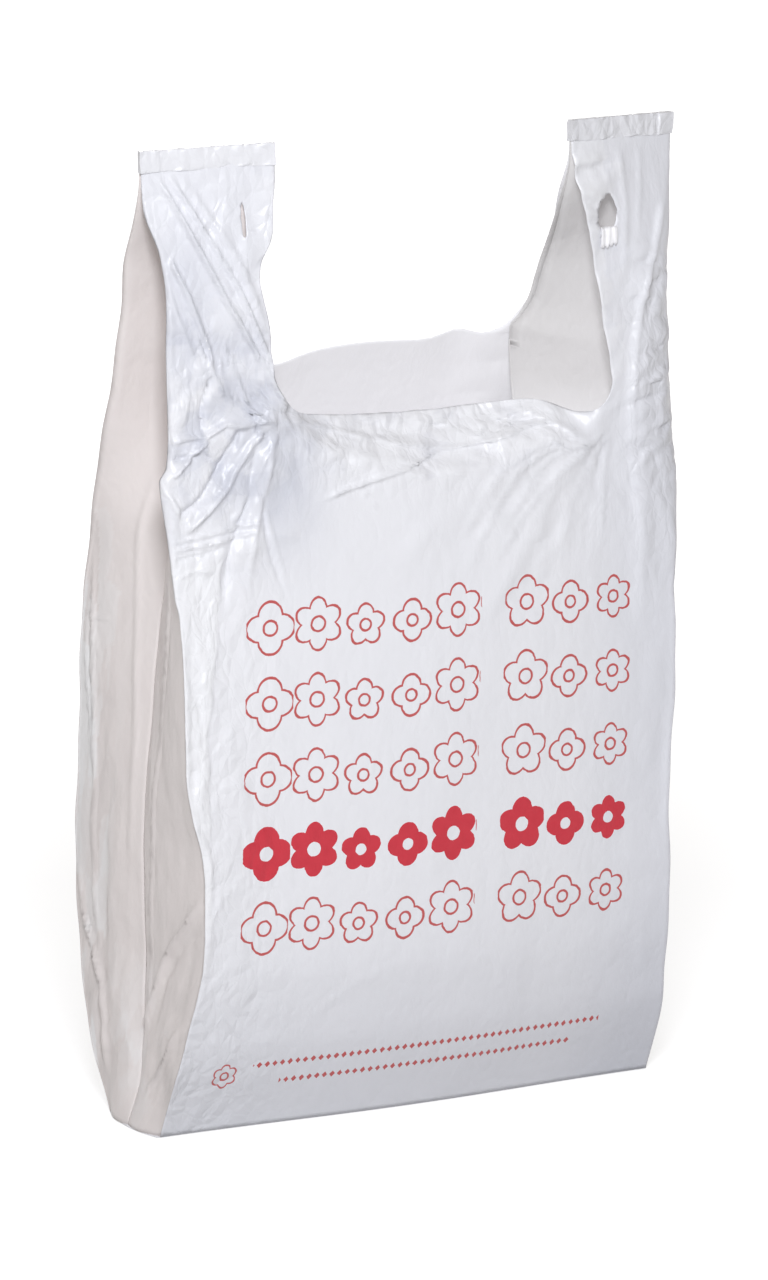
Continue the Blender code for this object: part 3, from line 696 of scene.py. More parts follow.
def back_swell(across, level):
    """Soft folds of the back panel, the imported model's own: a squared cosine and three ridges."""
    swell = 0.012 * np.cos(np.clip(across / HALF_WIDTH, -1, 1) * np.pi / 2) ** 2
    swell = swell * smooth_step(level, 0.0, BELLY_HEIGHT)
    swell = swell * (1 - smooth_step(level, SHOULDER_HEIGHT, BACK_RIM_HEIGHT + 0.02))
    shallow = ridge(across, level, (0.100, 0.360), (0.020, 0.250), 0.010, 0.0045)
    shallow = shallow + ridge(across, level, (-0.100, 0.370), (-0.050, 0.200), 0.010, 0.0045)
    shallow = shallow + ridge(across, level, (0.060, 0.060), (0.125, 0.180), 0.009, 0.0035)
    return swell + shallow


def back_creases(across, level):
    """Creases and facets of the back panel, as a depth behind its plane, listed as at the front."""
    lines = (
        (((-90, 400), (-70, 360), (-56, 300), (-50, 240)), 7.0, 1.5, (0.05, 0.40)),
        (((-88, 398), (-90, 350), (-100, 300)), 6.0, -1.2, (0.05, 0.40)),
        (((90, 400), (66, 352), (40, 300), (20, 262)), 7.0, 1.6, (0.05, 0.40)),
        (((92, 398), (92, 350), (104, 300), (110, 250)), 6.0, 1.2, (0.05, 0.40)),
        (((-140, 505), (-112, 450), (-92, 404)), 5.0, 1.5, (0.05, 0.10)),
        (((142, 505), (118, 450), (94, 404)), 5.0, 1.4, (0.05, 0.10)),
        (((-145, 330), (-120, 318), (-92, 322)), 4.0, 1.2, (0.03, 0.30)),
        (((145, 300), (124, 290), (100, 296)), 4.0, 1.1, (0.03, 0.30)),
        (((-145, 150), (-120, 140), (-86, 146)), 5.0, 1.0, (0.05, 0.40)),
        (((145, 120), (118, 108), (80, 92)), 5.0, 1.2, (0.05, 0.40)),
        (((-100, 40), (-60, 62), (-10, 66)), 6.0, 0.9, (0.10, 0.40)),
        (((-146, 5), (-128, 40), (-116, 80)), 6.0, 1.2, (0.05, 0.40)),
        (((146, 5), (130, 40), (118, 76)), 6.0, 1.2, (0.05, 0.40)))
    depth = 0 * across
    for points, width, height, ends in lines:
        depth = depth + crease(across, level, points, width, height, ends)

    def sides(x, z):
        """Whole panel, more towards its sides."""
        return 0.6 + 0.4 * smooth_step(np.abs(x), 0.06, 0.12)

    def corners(x, z):
        """Places round the mouth's two corners."""
        return bell(np.abs(x), 0.105, 0.035) * bell(z, 0.385, 0.050)

    layers = (
        (51, 34, 1.2, sides, (0.8, 1.6), 0.1),
        (57, 13, 0.8, corners, (0.8, 1.3), 0.4))
    return depth + layered(across, level, layers)


def gusset_creases(depth, level, side):
    """Creases and facets of a side gusset, as a distance out from it, listed as at the front.

    Depth is the place from front to back. The left gusset's main folds are the steepest.
    """
    lines = (
        (((-38, 307), (-23, 215), (-10, 133), (-5, 74), (-9, 45)), 3.0, 1.0, (0.10, 0.20)),
        (((45, 300), (44, 207), (44, 164), (46, 115), (40, 70)), 3.5, 1.2, (0.10, 0.30)),
        (((52, 268), (50, 225), (47, 190)), 3.0, 1.0, (0.05, 0.30)),
        (((-64, 137), (-27, 97), (-7, 60), (3, 30)), 6.0, 1.6, (0.05, 0.20)),
        (((-60, 118), (-40, 103), (-25, 84), (-16, 56)), 4.5, -0.8, (0.05, 0.30)),
        (((-44, 60), (-28, 40), (-12, 18)), 4.0, 1.2, (0.10, 0.20)),
        (((64, 132), (56, 97), (36, 66), (31, 20)), 7.0, 1.5, (0.05, 0.15)),
        (((60, 112), (50, 90), (46, 72)), 3.0, -1.0, (0.05, 0.30)),
        (((56, 267), (44, 262), (31, 264)), 2.6, 1.3, (0.10, 0.20)),
        (((49, 268), (42, 250), (38, 239)), 2.6, 1.0, (0.10, 0.20)),
        (((46, 229), (40, 226), (34, 227)), 2.4, 1.2, (0.20, 0.20)),
        (((-11, 338), (-20, 332), (-25, 328)), 2.4, 1.0, (0.20, 0.20)),
        (((-24, 322), (-12, 330), (-4, 333)), 2.2, -0.7, (0.20, 0.20)),
        (((24, 411), (6, 415), (-9, 417)), 2.0, 0.7, (0.10, 0.20)),
        (((10, 380), (14, 300), (10, 200), (12, 110)), 6.0, 0.7, (0.20, 0.30)))
    out = 0 * depth
    for points, width, height, ends in lines:
        main = side == LEFT and width >= MAIN_CREASE_WIDTH
        share = GUSSET_GAIN if main else SMALL_GUSSET_GAIN
        out = out + crease(depth, level, points, width, share * height, ends)

    def low_down(y, z):
        """Whole gusset, more in its lower third."""
        return 0.55 + 0.45 * bell(z, 0.10, 0.10)

    layers = (
        (63 + side, 26, 1.6, low_down, (0.7, 2.2), 0.0),
        (71 + side, 10, 1.1, gusset_foot, (0.9, 1.3), 0.4),
        (81 + side, 7, 0.45, low_down, (0.8, 1.8), 0.1))
    return out + layered(depth, level, layers)


def quiet(level):
    """Share of the creases: none where the film is welded at the top or folded flat at the base."""
    weld = 1 - smooth_step(level, SEAL_FOOT - 0.012, SEAL_FOOT - 0.001)
    foot = smooth_step(level, 0.001, 0.030)
    return weld * foot


def panel_points(level, across, behind, front):
    """Points of a panel from their level, their place across and their depth behind its plane.

    Depth is the fold's depth plus the lean of the lip or the wave of the rim, the soft folds and the
    creases, which fade towards the side folds. Each handle is then turned and leaned.
    """
    row = level[:, None] + 0 * across
    height = front_level(row) if front else row
    share = quiet(row)
    reach = np.maximum(fold_reach(level, RIGHT, front), 0)[:, None]
    reach_left = fold_reach(level, LEFT, front)[:, None]
    from_fold = np.minimum(reach - across, reach_left + across)
    share = share * smooth_step(from_fold, 0.0, 0.005)
    if front:
        back_off, lowered = lip(across, height)
        middle = smooth_step(HALF_WIDTH - np.abs(across), 0.6 * STRAP_ROOT_WIDTH, STRAP_ROOT_WIDTH)
        back_off, lowered = back_off * middle, lowered * middle
        weld = 1 - smooth_step(row, SEAL_FOOT - 0.020, SEAL_FOOT - 0.004)
        relief = front_swell(across, height) * weld
        relief = relief + share * (front_creases(across, height) + front_crumple(across, height))
        depth = -front_depth(row) + behind + back_off - relief
        height = height - lowered - corner_dip(across, height)
    else:
        relief = back_swell(across, height) + share * back_creases(across, height)
        depth = back_depth(row) - behind + relief
        rim = smooth_step(row, BACK_RIM_HEIGHT - 0.05, BACK_RIM_HEIGHT)
        rim = rim * (1 - smooth_step(row, BACK_RIM_HEIGHT, BACK_RIM_HEIGHT + 0.03))
        wave = 0.0045 * bell(across, 0.055, 0.012) - 0.006 * bell(across, -0.055, 0.018)
        wave = wave + 0.0020 * bell(across, 0.0, 0.030)
        height = height + rim * wave
    depth = depth + strip_turn(across, row)
    height = height - strip_lower(across, row)
    return np.stack([across, depth, height], axis=-1)


def panel(levels, front, body_rows, columns):
    """Three patches of a panel: the body below the mouth, and a strap on each side above it."""
    body, above = levels[:body_rows + 1], levels[body_rows:]
    left, left_behind = panel_columns(body, LEFT, front, columns[LEFT])
    right, right_behind = panel_columns(body, RIGHT, front, columns[RIGHT])
    share = np.linspace(0, 1, columns[0] + 1)[None, 1:-1]
    middle = left[:, -1:] + (right[:, -1:] - left[:, -1:]) * share
    across = np.hstack([left, middle, right[:, ::-1]])
    behind = np.hstack([left_behind, 0 * middle, right_behind[:, ::-1]])
    patches = [panel_points(body, across, behind, front)]
    for side in (LEFT, RIGHT):
        across, behind = panel_columns(above, side, front, columns[side])
        patch = panel_points(above, across, behind, front)
        patch = patch if side == LEFT else patch[:, ::-1]
        width = patch.shape[1]
        patch[0] = patches[0][-1, :width] if side == LEFT else patches[0][-1, -width:]
        patches.append(patch)
    return patches


def gusset_recess(level, half_chord, width):
    """How far inward the gusset's crease stands, from the line between its two folds.

    The film's width and half the gap make a right triangle. Its third side is the reach of a taut
    gusset, and a share that rises with the level says how much of it is folded in.
    """
    folded = np.sqrt(np.clip(width ** 2 - half_chord ** 2, 0, None))
    share = through(level, (
        (0.0, 0.0), (0.03, 0.12), (BELLY_HEIGHT + 0.03, 0.06), (0.20, 0.22),
        (0.31, 0.40), (BACK_RIM_HEIGHT - 0.03, 0.96), (BACK_RIM_HEIGHT, 1.0), (HANDLE_TOP, 1.0)))
    return share * folded


def gusset(levels, front_edge, back_edge, side):
    """Two patches of one side gusset, each from its fold to the crease and on to the pleat's tip.

    The crease stands midway between the two folds, moved back by the lean and inward by what is
    left of the film's width when it spans the gap. Film that is still left lies as a flat pleat.
    """
    columns = GUSSET_COLUMNS[side]
    level = levels[:, None]
    inward = np.array([-side, 0, 0])
    chord = back_edge - front_edge
    half_chord = np.linalg.norm(chord[:, :2], axis=1)[:, None] / 2
    along = chord / np.maximum(np.linalg.norm(chord, axis=1)[:, None], 1e-9)
    loose = smooth_step(level, BACK_RIM_HEIGHT - 0.06, BACK_RIM_HEIGHT + 0.01)
    loose = loose * (1 - smooth_step(level, BACK_RIM_HEIGHT + 0.04, SEAL_FOOT - 0.01))
    lean = GUSSET_LEAN[side] * loose
    middle = (front_edge + back_edge + lean * chord) / 2
    trimmed = level > BACK_RIM_HEIGHT + 1e-6
    width = np.where(trimmed, strap_width(level, side, False), GUSSET_HALF)
    width = np.minimum(width + GUSSET_SLACK[side] * loose, GUSSET_HALF)
    recess = gusset_recess(level, (1 + lean) * half_chord, width)
    spent = np.hypot((1 + lean) * half_chord, recess)
    pleat = np.where(trimmed, 0, np.clip(width - spent, 0, None))
    opened = smooth_step(level, BACK_RIM_HEIGHT, BACK_RIM_HEIGHT + 0.03)
    opened = opened * (1 - smooth_step(level, BACK_RIM_HEIGHT + 0.05, SEAL_FOOT))
    slit = FOLD_RADIUS + (SLIT_HALF_WIDTH - FOLD_RADIUS) * opened
    yaw = strip_turn(middle[:, :1] - side * recess, level) - strip_turn(middle[:, :1], level)
    yaw = np.hstack([0 * yaw, yaw, 0 * yaw])
    patches = []
    for edge, way in ((front_edge, -1), (back_edge, 1)):
        toward = np.array([0, -way, 0])
        turn = np.minimum(roll_radius(level, side, way == -1), FOLD_RADIUS_LIMIT)
        start = edge + turn * (toward + inward)
        crease_line = middle + inward * recess + yaw + way * slit * along
        bend = np.linspace(0, 1, columns + 1)[None, 1:, None]
        run = start[:, None] + (crease_line - start)[:, None] * bend
        bow = 0.05 * half_chord[:, None] * np.sin(np.pi * bend)
        run = run - inward * bow * (1 - smooth_step(level[:, None], 0.30, BACK_RIM_HEIGHT))
        foot = 1 - smooth_step(level[:, None], 0.0, FOOT_BOW_FADE)
        run = run - inward * foot_bow(run[..., 1:2]) * foot
        out = gusset_creases(run[..., 1], run[..., 2], side)
        edge_share = np.clip(6 * bend[..., 0], 0, 1) * np.clip(6 * (1 - bend[..., 0]), 0, 1)
        gap = smooth_step(half_chord, 0.008, 0.045)
        run = run - inward * (out * edge_share * gap * quiet(level))[..., None]
        depth = np.linspace(0, 1, PLEAT_COLUMNS + 1)[None, 1:, None]
        fold = crease_line[:, None] + inward * pleat[:, None] * depth
        tip = middle + inward * (recess + pleat + FOLD_RADIUS) + yaw
        patch = np.concatenate([edge[:, None], start[:, None], run, fold], axis=1)
        patches.append((patch, tip, trimmed[:, 0]))
    return patches


def foot_bow(depth):
    """How far the base's ends bow out beyond its corners: a parabola from corner to corner."""
    middle = (BASE_BACK - BASE_FRONT) / 2
    share = (depth - middle) / ((BASE_BACK + BASE_FRONT) / 2)
    return FOOT_BOW * np.clip(1 - share ** 2, 0, 1)


def row_levels():
    """Levels of the film's rows, closest in the shoulder, where it is creased most."""
    low = np.linspace(BASE_THICKNESS / 2, DETAIL_LEVEL, LOW_ROWS + 1)
    shoulder = np.linspace(DETAIL_LEVEL, BACK_RIM_HEIGHT, SHOULDER_ROWS + 1)[1:]
    angle = np.linspace(0, np.pi / 2, CORNER_ROWS + 1)[1:]
    corner = BACK_RIM_HEIGHT + MOUTH_CORNER_RADIUS * (1 - np.cos(angle))
    handle = np.linspace(corner[-1], FILM_TOP, HANDLE_ROWS + 1)[1:]
    return np.concatenate([low, shoulder, corner, handle])


# Meshes

def add_grid(store, points, tone, flip, material, hole=None):
    """Puts a grid of points, their tone and their faces into the store.

    A hole, given as (centre across, centre level, width, height), leaves out the faces inside its
    oval and moves the corners left on its rim onto the oval.
    """
    rows, columns = points.shape[:2]
    start = sum(len(part) for part in store["points"])
    index = start + np.arange(rows * columns).reshape(rows, columns)
    quads = np.stack([index[:-1, :-1], index[:-1, 1:], index[1:, 1:], index[1:, :-1]], axis=-1)
    keep = np.ones(quads.shape[:2], bool)
    if hole:
        points = points.copy()
        u = (points[..., 0] - hole[0]) / (hole[2] / 2)
        v = (points[..., 2] - hole[1]) / (hole[3] / 2)
        centre_u = (u[:-1, :-1] + u[:-1, 1:] + u[1:, 1:] + u[1:, :-1]) / 4
        centre_v = (v[:-1, :-1] + v[:-1, 1:] + v[1:, 1:] + v[1:, :-1]) / 4
        keep = np.hypot(centre_u, centre_v) > 1
        touched = np.zeros(u.shape, int)
        for down in (0, 1):
            for right in (0, 1):
                touched[down:rows - 1 + down, right:columns - 1 + right] += ~keep
        rim = (touched > 0) & (touched < 4)
        reach = np.hypot(u, v)
        ragged = 1 + 0.05 * np.sin(5 * np.arctan2(v, u) + 1) + 0.03 * np.sin(11 * np.arctan2(v, u))
        scale = np.where(rim, ragged / np.maximum(reach, 1e-6), 1)
        points[..., 0] = hole[0] + (points[..., 0] - hole[0]) * scale
        points[..., 2] = hole[1] + (points[..., 2] - hole[1]) * scale
    faces = quads[keep]
    store["points"].append(points.reshape(-1, 3))
    store["tone"].append(np.broadcast_to(tone, points.shape[:2]).ravel())
    store["faces"].append(faces[:, ::-1] if flip else faces)
    store["materials"].append(np.full(len(faces), material))


def empty_store():
    """Store for the parts of one mesh."""
    return {"points": [], "tone": [], "faces": [], "materials": []}


def store_mesh(name, store):
    """Mesh of the stored grids, with places across and along the film as its UV map."""
    points = np.concatenate(store["points"])
    faces = np.concatenate(store["faces"])
    mesh = bpy.data.meshes.new(name)
    mesh.from_pydata(points.tolist(), [], faces.tolist())
    mesh.polygons.foreach_set("material_index", np.concatenate(store["materials"]).astype(np.int32))
    corner = np.zeros(len(mesh.loops), np.int32)
    mesh.loops.foreach_get("vertex_index", corner)
    film_map = mesh.uv_layers.new(name="film")
    film_map.data.foreach_set("uv", points[corner][:, [0, 2]].astype(np.float32).ravel())
    tone = mesh.attributes.new("tone", "FLOAT", "POINT")
    tone.data.foreach_set("value", np.concatenate(store["tone"]).astype(np.float32))
    mesh.update()
    return mesh


def merged(mesh, distance=1e-6):
    """The mesh with its doubled points joined and its stray points taken out."""
    bm = bmesh.new()
    bm.from_mesh(mesh)
    bmesh.ops.remove_doubles(bm, verts=bm.verts, dist=distance)
    stray = [corner for corner in bm.verts if not corner.link_faces]
    bmesh.ops.delete(bm, geom=stray, context="VERTS")
    bm.to_mesh(mesh)
    bm.free()
    return mesh


def front_film(front, holes):
    """Store of the front panel's patches."""
    store = empty_store()
    for patch, hole in zip(front, (None, *holes)):
        add_grid(store, patch, front_shade_and_layer_tone(patch[..., 0], patch[..., 2]), False, 0, hole)
    add_grid(store, torn_flap(holes[1]), 0.1, False, 0)
    return store


def torn_flap(hole):
    """Punched flap that hangs out of the right hole: up from its lower rim, then folded down.

    Climb and forward give each row's height and its distance in front of the film. The free rows
    are shifted up and down by scattered amounts, as a torn edge.
    """
    across = hole[0] + np.linspace(-0.0048, 0.0056, FLAP_COLUMNS)[None, :]
    climb = np.array((-0.0006, 0.0016, 0.0034, 0.0038, 0.0026, 0.0000, -0.0024, -0.0042))[:, None]
    forward = np.array((0.0000, 0.0004, 0.0006, 0.0011, 0.0015, 0.0016, 0.0015, 0.0012))[:, None]
    level = hole[1] + front_rise(hole[1]) - 0.5 * hole[3] + 0.0012 + climb[:, 0]
    points = panel_points(level, across + 0 * climb, 0 * across, True)
    column = np.arange(FLAP_COLUMNS)
    torn = 0.0022 * (scattered(column // 3, 0 * column, 5.0) - 0.5)
    torn = torn + 0.0012 * (scattered(column, 0 * column, 8.0) - 0.5)
    points[3:, :, 2] += torn * np.linspace(0.1, 1.0, 5)[:, None]
    points[1:3, :, 2] += 0.3 * torn
    points[..., 1] -= forward * (0.9 + 0.2 * np.sin(0.7 * column))
    return points


def front_rise(height):
    """How much higher a film level is than the front film's height there, by repeated correction."""
    level = height
    for _ in range(8):
        level = height + level - float(front_level(np.array(level)))
    return level - height


def rest_film(front, back, levels, holes):
    """Store of the back panel's and both gussets' patches."""
    store = empty_store()
    for patch, hole in zip(back, (None, *holes)):
        add_grid(store, patch, 0, True, 0, hole)
    for side, column, strap in ((LEFT, 0, 1), (RIGHT, -1, 2)):
        front_edge = np.vstack([front[0][:, column], front[strap][1:, column]])
        back_edge = np.vstack([back[0][:, column], back[strap][1:, column]])
        for way, (patch, tip, trimmed) in enumerate(gusset(levels, front_edge, back_edge, side)):
            rows = np.count_nonzero(~trimmed)
            full = np.concatenate([patch, tip[:, None]], axis=1)
            flip = (side == LEFT) == (way == 0)
            tone = gusset_painted_shading(full[..., 1], full[..., 2], side)
            above = GUSSET_COLUMNS[side] + 2
            slot = 1 if side == LEFT else 2
            add_grid(store, full[:rows], tone[:rows], flip, slot)
            add_grid(store, patch[rows - 1:, :above], tone[rows - 1:, :above], flip, slot)
    return store


def walled(name, store, materials):
    """Object of the stored grids with the film's thickness as its wall.

    The second half of the materials belongs to the inner faces, in the order of the first half.
    """
    mesh = merged(store_mesh(name, store))
    mesh.shade_smooth()
    for material in materials:
        mesh.materials.append(material)
    piece = bpy.data.objects.new(name, mesh)
    bpy.context.scene.collection.objects.link(piece)
    wall = piece.modifiers.new("wall", "SOLIDIFY")
    wall.thickness = FILM
    wall.offset = 0
    wall.material_offset = len(materials) // 2
    return piece


def film_pieces(printed, plain, left, right, inner):
    """The film in two pieces that meet at the front folds: the front panel, and all the rest."""
    levels = row_levels()
    body_rows = LOW_ROWS + SHOULDER_ROWS
    front = panel(levels, True, body_rows, FRONT_COLUMNS)
    back = panel(levels, False, body_rows, BACK_COLUMNS)
    right_hole = (HALF_WIDTH - HOLE_INSET, HANDLE_TOP - HOLE_DROP, HOLE_WIDTH, HOLE_HEIGHT)
    left_hole = (PINCHED_HOLE_INSET - HALF_WIDTH, HANDLE_TOP - PINCHED_HOLE_DROP,
                 SLIT_WIDTH, SLIT_HEIGHT)
    holes = (left_hole, right_hole)
    rest = rest_film(front, back, levels, holes)
    return [walled("film_front", front_film(front, holes), (printed, inner)),
            walled("film_rest", rest, (plain, left, right, inner, left, right))]


def everywhere(across, level):
    """Full share at every place."""
    return 1 + 0 * across


def weld_strip(side, material):
    """Welded end of a handle: a flat band of pressed layers.

    Its section is a rounded rectangle carried along the band; fine slanted ridges, a fold near the
    inner end and a slight wave of its lower edge are added to the front and back of the section.
    """
    length = STRAP_TOP_WIDTH / cos(STRIP_YAW) + STRIP_MARGIN
    along = np.linspace(-0.5, 0.5, STRIP_STATIONS) * length
    turn = np.linspace(0, 2 * np.pi, STRIP_CORNERS + 1)[:-1]
    half_thick, half_high = 0.50 * STRIP_THICKNESS, STRIP_HEIGHT / 2
    square = 0.22
    cos_t, sin_t = np.cos(turn), np.sin(turn)
    depth = half_thick * np.sign(cos_t) * np.abs(cos_t) ** square
    high = half_high * np.sign(sin_t) * np.abs(sin_t) ** square
    u = along[:, None] + 0 * depth[None, :]
    y = depth[None, :] + 0 * u
    z = high[None, :] + 0 * u
    facing = np.sign(y)
    slant = crumple(u, z + 0.02 * facing, 91 + side, 5.0, 0.85, everywhere, (2.2, 0.5), 0.4)
    end_fold = 0.0006 * smooth_step(side * u, 0.5 * length - 0.0105, 0.5 * length - 0.0098)
    y = y + facing * (slant + end_fold)
    z = z + 0.0003 * np.sin(u * 160 + side) * (z < 0)
    ring = np.stack([u, y, z], axis=-1)
    caps = ring[[0, -1]].mean(axis=1)
    yaw = Matrix.Rotation(side * STRIP_YAW, 3, "Z")
    tilt = Matrix.Rotation(side * STRIP_TILT, 3, "Y")
    place = np.array([side * handle_middle(), -TOP_LEAN, HANDLE_TOP - STRIP_HEIGHT / 2])
    turned = np.array(yaw @ tilt)
    points = np.concatenate([ring.reshape(-1, 3), caps]) @ turned.T + place
    rows, columns = ring.shape[:2]
    index = np.arange(rows * columns).reshape(rows, columns)
    after = np.roll(index, -1, axis=1)
    faces = np.stack([index[:-1], after[:-1], after[1:], index[1:]], axis=-1).reshape(-1, 4).tolist()
    first, last = rows * columns, rows * columns + 1
    faces += [[first, b, a] for a, b in zip(index[0], after[0])]
    faces += [[last, a, b] for a, b in zip(index[-1], after[-1])]
    faces = [[int(corner) for corner in face] for face in faces]
    return finished("weld_left" if side == LEFT else "weld_right", points, faces, material)


def base_sheet(material):
    """Folded base: a thin closed sheet with the welded band and the gussets' folded corners on it.

    Height is the sheet's thickness plus a raised band along the middle and a step at each
    triangular corner fold; the underside keeps the same folds as shallow steps.
    """
    front, back = -BASE_FRONT, BASE_BACK
    x = np.linspace(-HALF_WIDTH, HALF_WIDTH, BASE_COLUMNS)
    y = np.linspace(front, back, BASE_ROWS)
    gx, gy = np.meshgrid(x, y)
    middle = (front + back) / 2
    soft = 0.0004
    band = smooth_step(SEAL_WIDTH / 2 - np.abs(gy - middle), -soft, soft)
    inset = HALF_WIDTH - np.abs(gx)
    reach = (back - front) / 2 - np.abs(gy - middle) + CORNER_FOLD_REACH
    corner = smooth_step(reach - inset, -soft, soft)
    ripple = crumple(gx, gy, 97, 14, 0.10, everywhere, (1.5, 0.7), 0.1)
    top = BASE_THICKNESS * (0.72 + 0.28 * corner) + ripple
    top = top + (SEAL_THICKNESS - BASE_THICKNESS) * band
    under = np.clip(0.00012 * (1 - corner) + 0.00015 * (1 - band) + 0.5 * np.abs(ripple), 0, 0.0004)
    rim = (inset < 1e-6) | (gy <= front + 1e-9) | (gy >= back - 1e-9)
    under = np.where(rim, 0.3 * BASE_THICKNESS, under)
    top = np.where(rim, 0.7 * BASE_THICKNESS, top)
    end = smooth_step(np.abs(gx), HALF_WIDTH - 0.030, HALF_WIDTH)
    gx = gx + np.sign(gx) * end * foot_bow(gy)
    upper = np.stack([gx, gy, top], axis=-1)
    lower = np.stack([gx, gy, under], axis=-1)
    rows, columns = gx.shape
    size = rows * columns
    index = np.arange(size).reshape(rows, columns)
    quads = np.stack([index[:-1, :-1], index[:-1, 1:], index[1:, 1:], index[1:, :-1]], axis=-1)
    quads = quads.reshape(-1, 4)
    around = np.concatenate([index[0, :-1], index[:-1, -1], index[-1, :0:-1], index[:0:-1, 0]])
    after = np.roll(around, -1)
    walls = np.stack([around, around + size, after + size, after], axis=-1)[:, ::-1]
    faces = np.concatenate([quads, quads[:, ::-1] + size, walls]).tolist()
    points = np.concatenate([upper.reshape(-1, 3), lower.reshape(-1, 3)])
    return finished("base_fold", points, faces, material)


def finished(name, points, faces, material):
    """Smooth-shaded object from points and faces, with sharp edges at its steep folds."""
    mesh = bpy.data.meshes.new(name)
    mesh.from_pydata(np.asarray(points).tolist(), [], faces)
    mesh.update()
    mesh.shade_smooth()
    mesh.set_sharp_from_angle(angle=radians(50))
    mesh.materials.append(material)
    piece = bpy.data.objects.new(name, mesh)
    bpy.context.scene.collection.objects.link(piece)
    return piece


# Materials

class Nodes:
    """Small helper that adds nodes to one material and links them."""

    def __init__(self, name):
        self.material = bpy.data.materials.new(name)
        self.material.use_nodes = True
        self.tree = self.material.node_tree
        self.shader = self.tree.nodes["Principled BSDF"]

    def add(self, kind, inputs=(), **settings):
        """New node with its settings and its inputs, each a value or a socket to link."""
        node = self.tree.nodes.new(kind)
        for key, value in settings.items():
            setattr(node, key, value)
        for key, value in dict(inputs).items():
            self.put(node.inputs[key], value)
        return node

    def put(self, socket, value):
        """Links a socket to an input, or sets the input to a value."""
        if isinstance(value, bpy.types.NodeSocket):
            self.tree.links.new(value, socket)
        else:
            socket.default_value = value

    def math(self, operation, *values, clamp=False):
        """Result of one operation."""
        node = self.tree.nodes.new("ShaderNodeMath")
        node.operation = operation
        node.use_clamp = clamp
        for socket, value in zip(node.inputs, values):
            self.put(socket, value)
        return node.outputs[0]

    def chain(self, operation, values):
        """Result of one operation carried through all the values."""
        result = values[0]
        for value in values[1:]:
            result = self.math(operation, result, value)
        return result

    def plus(self, *values):
        """Sum of the values."""
        return self.chain("ADD", values)

    def times(self, *values):
        """Product of the values."""
        return self.chain("MULTIPLY", values)

    def most(self, *values):
        """Largest of the values."""
        return self.chain("MAXIMUM", values)

    def minus(self, first, second):
        """First value less the second."""
        return self.math("SUBTRACT", first, second)

    def over(self, first, second):
        """First value divided by the second."""
        return self.math("DIVIDE", first, second)

    def between(self, value, low, high):
        """1 where the value lies between low and high, and 0 elsewhere."""
        return self.times(self.math("GREATER_THAN", value, low), self.math("LESS_THAN", value, high))

    def rise(self, value, start, end):
        """Straight rise from 0 at start to 1 at end, level beyond both."""
        return self.math("DIVIDE", self.minus(value, start), end - start, clamp=True)

    def mix(self, share, first, second):
        """Colour between two colours."""
        node = self.tree.nodes.new("ShaderNodeMix")
        node.data_type = "RGBA"
        self.put(node.inputs["Factor"], share)
        self.put(node.inputs["A"], first)
        self.put(node.inputs["B"], second)
        return node.outputs["Result"]


# Print on the front panel, in metres across and up
PRINT_SHIFT = (0.0068, -0.0036)
PRINT_WAVER = 0.0007
ROW_PITCH = 0.0391
FIRST_ROW = 0.1173
ROW_COUNT = 5
FILLED_ROW = 1.0
ROW_START = -0.1200
ROW_SLANT = 0.042
ROSETTE_PITCH = 0.0268
ROSETTE_COUNT = 8
ROSETTE_RADIUS = 0.0136
ROSETTE_LESS = 0.0028
PETAL_DEPTH = 0.30
EYE_SHARE = 0.28
OUTLINE_HALF = 0.00070
EYE_LINE_HALF = 0.00062
SECOND_GROUP = 0.1415
GROUP_GAP = (0.1345, 0.1483)
GROUP_SHIFT = 0.0145
LOZENGE_PITCH = 0.0044
LOZENGE_REACH = 0.00155
LOZENGE_ROWS = ((0.0415, -0.107, 0.099), (0.0305, -0.090, 0.083))
CORNER_ROSETTE = (-0.1225, 0.037)
CORNER_RADIUS = 0.0068
CORNER_EYE = 0.0022
CORNER_LINE_HALF = 0.0005
INK_LINE = (0.52, 0.035, 0.030, 1)
INK_FILL = ((0.56, 0.020, 0.040, 1), (0.66, 0.032, 0.055, 1))


def rosette(n, across, up, size, petals, depth):
    """Distance outside a flower whose petals are arches round a circle, and distance from its middle.

    The flower's edge stands at its size times (1 less depth, plus depth times the absolute cosine
    of half the petals' count times the angle).
    """
    radius = n.math("SQRT", n.plus(n.times(across, across), n.times(up, up)))
    angle = n.math("ARCTAN2", across, up)
    arch = n.math("ABSOLUTE", n.math("COSINE", n.times(angle, n.times(petals, 0.5))))
    edge = n.plus(n.times(size, 1 - depth), n.times(arch, n.times(size, depth)))
    return n.minus(radius, edge), radius


def ink_stroke(n, distance, half):
    """1 within half a stroke of a line, with a soft edge."""
    gone = n.minus(n.math("ABSOLUTE", distance), half)
    return n.math("SUBTRACT", 0.5, n.over(gone, 0.0003), clamp=True)


def lozenge_row(n, across, level, row_level, start, end):
    """Row of small lozenges: their sides are where the distances across and up add to one size."""
    cell = n.minus(n.math("FRACT", n.over(across, LOZENGE_PITCH)), 0.5)
    beside = n.math("ABSOLUTE", n.times(cell, LOZENGE_PITCH))
    up = n.math("ABSOLUTE", n.times(n.minus(level, row_level), 0.85))
    shape = n.math("LESS_THAN", n.plus(beside, up), LOZENGE_REACH)
    return n.times(shape, n.between(across, start, end))


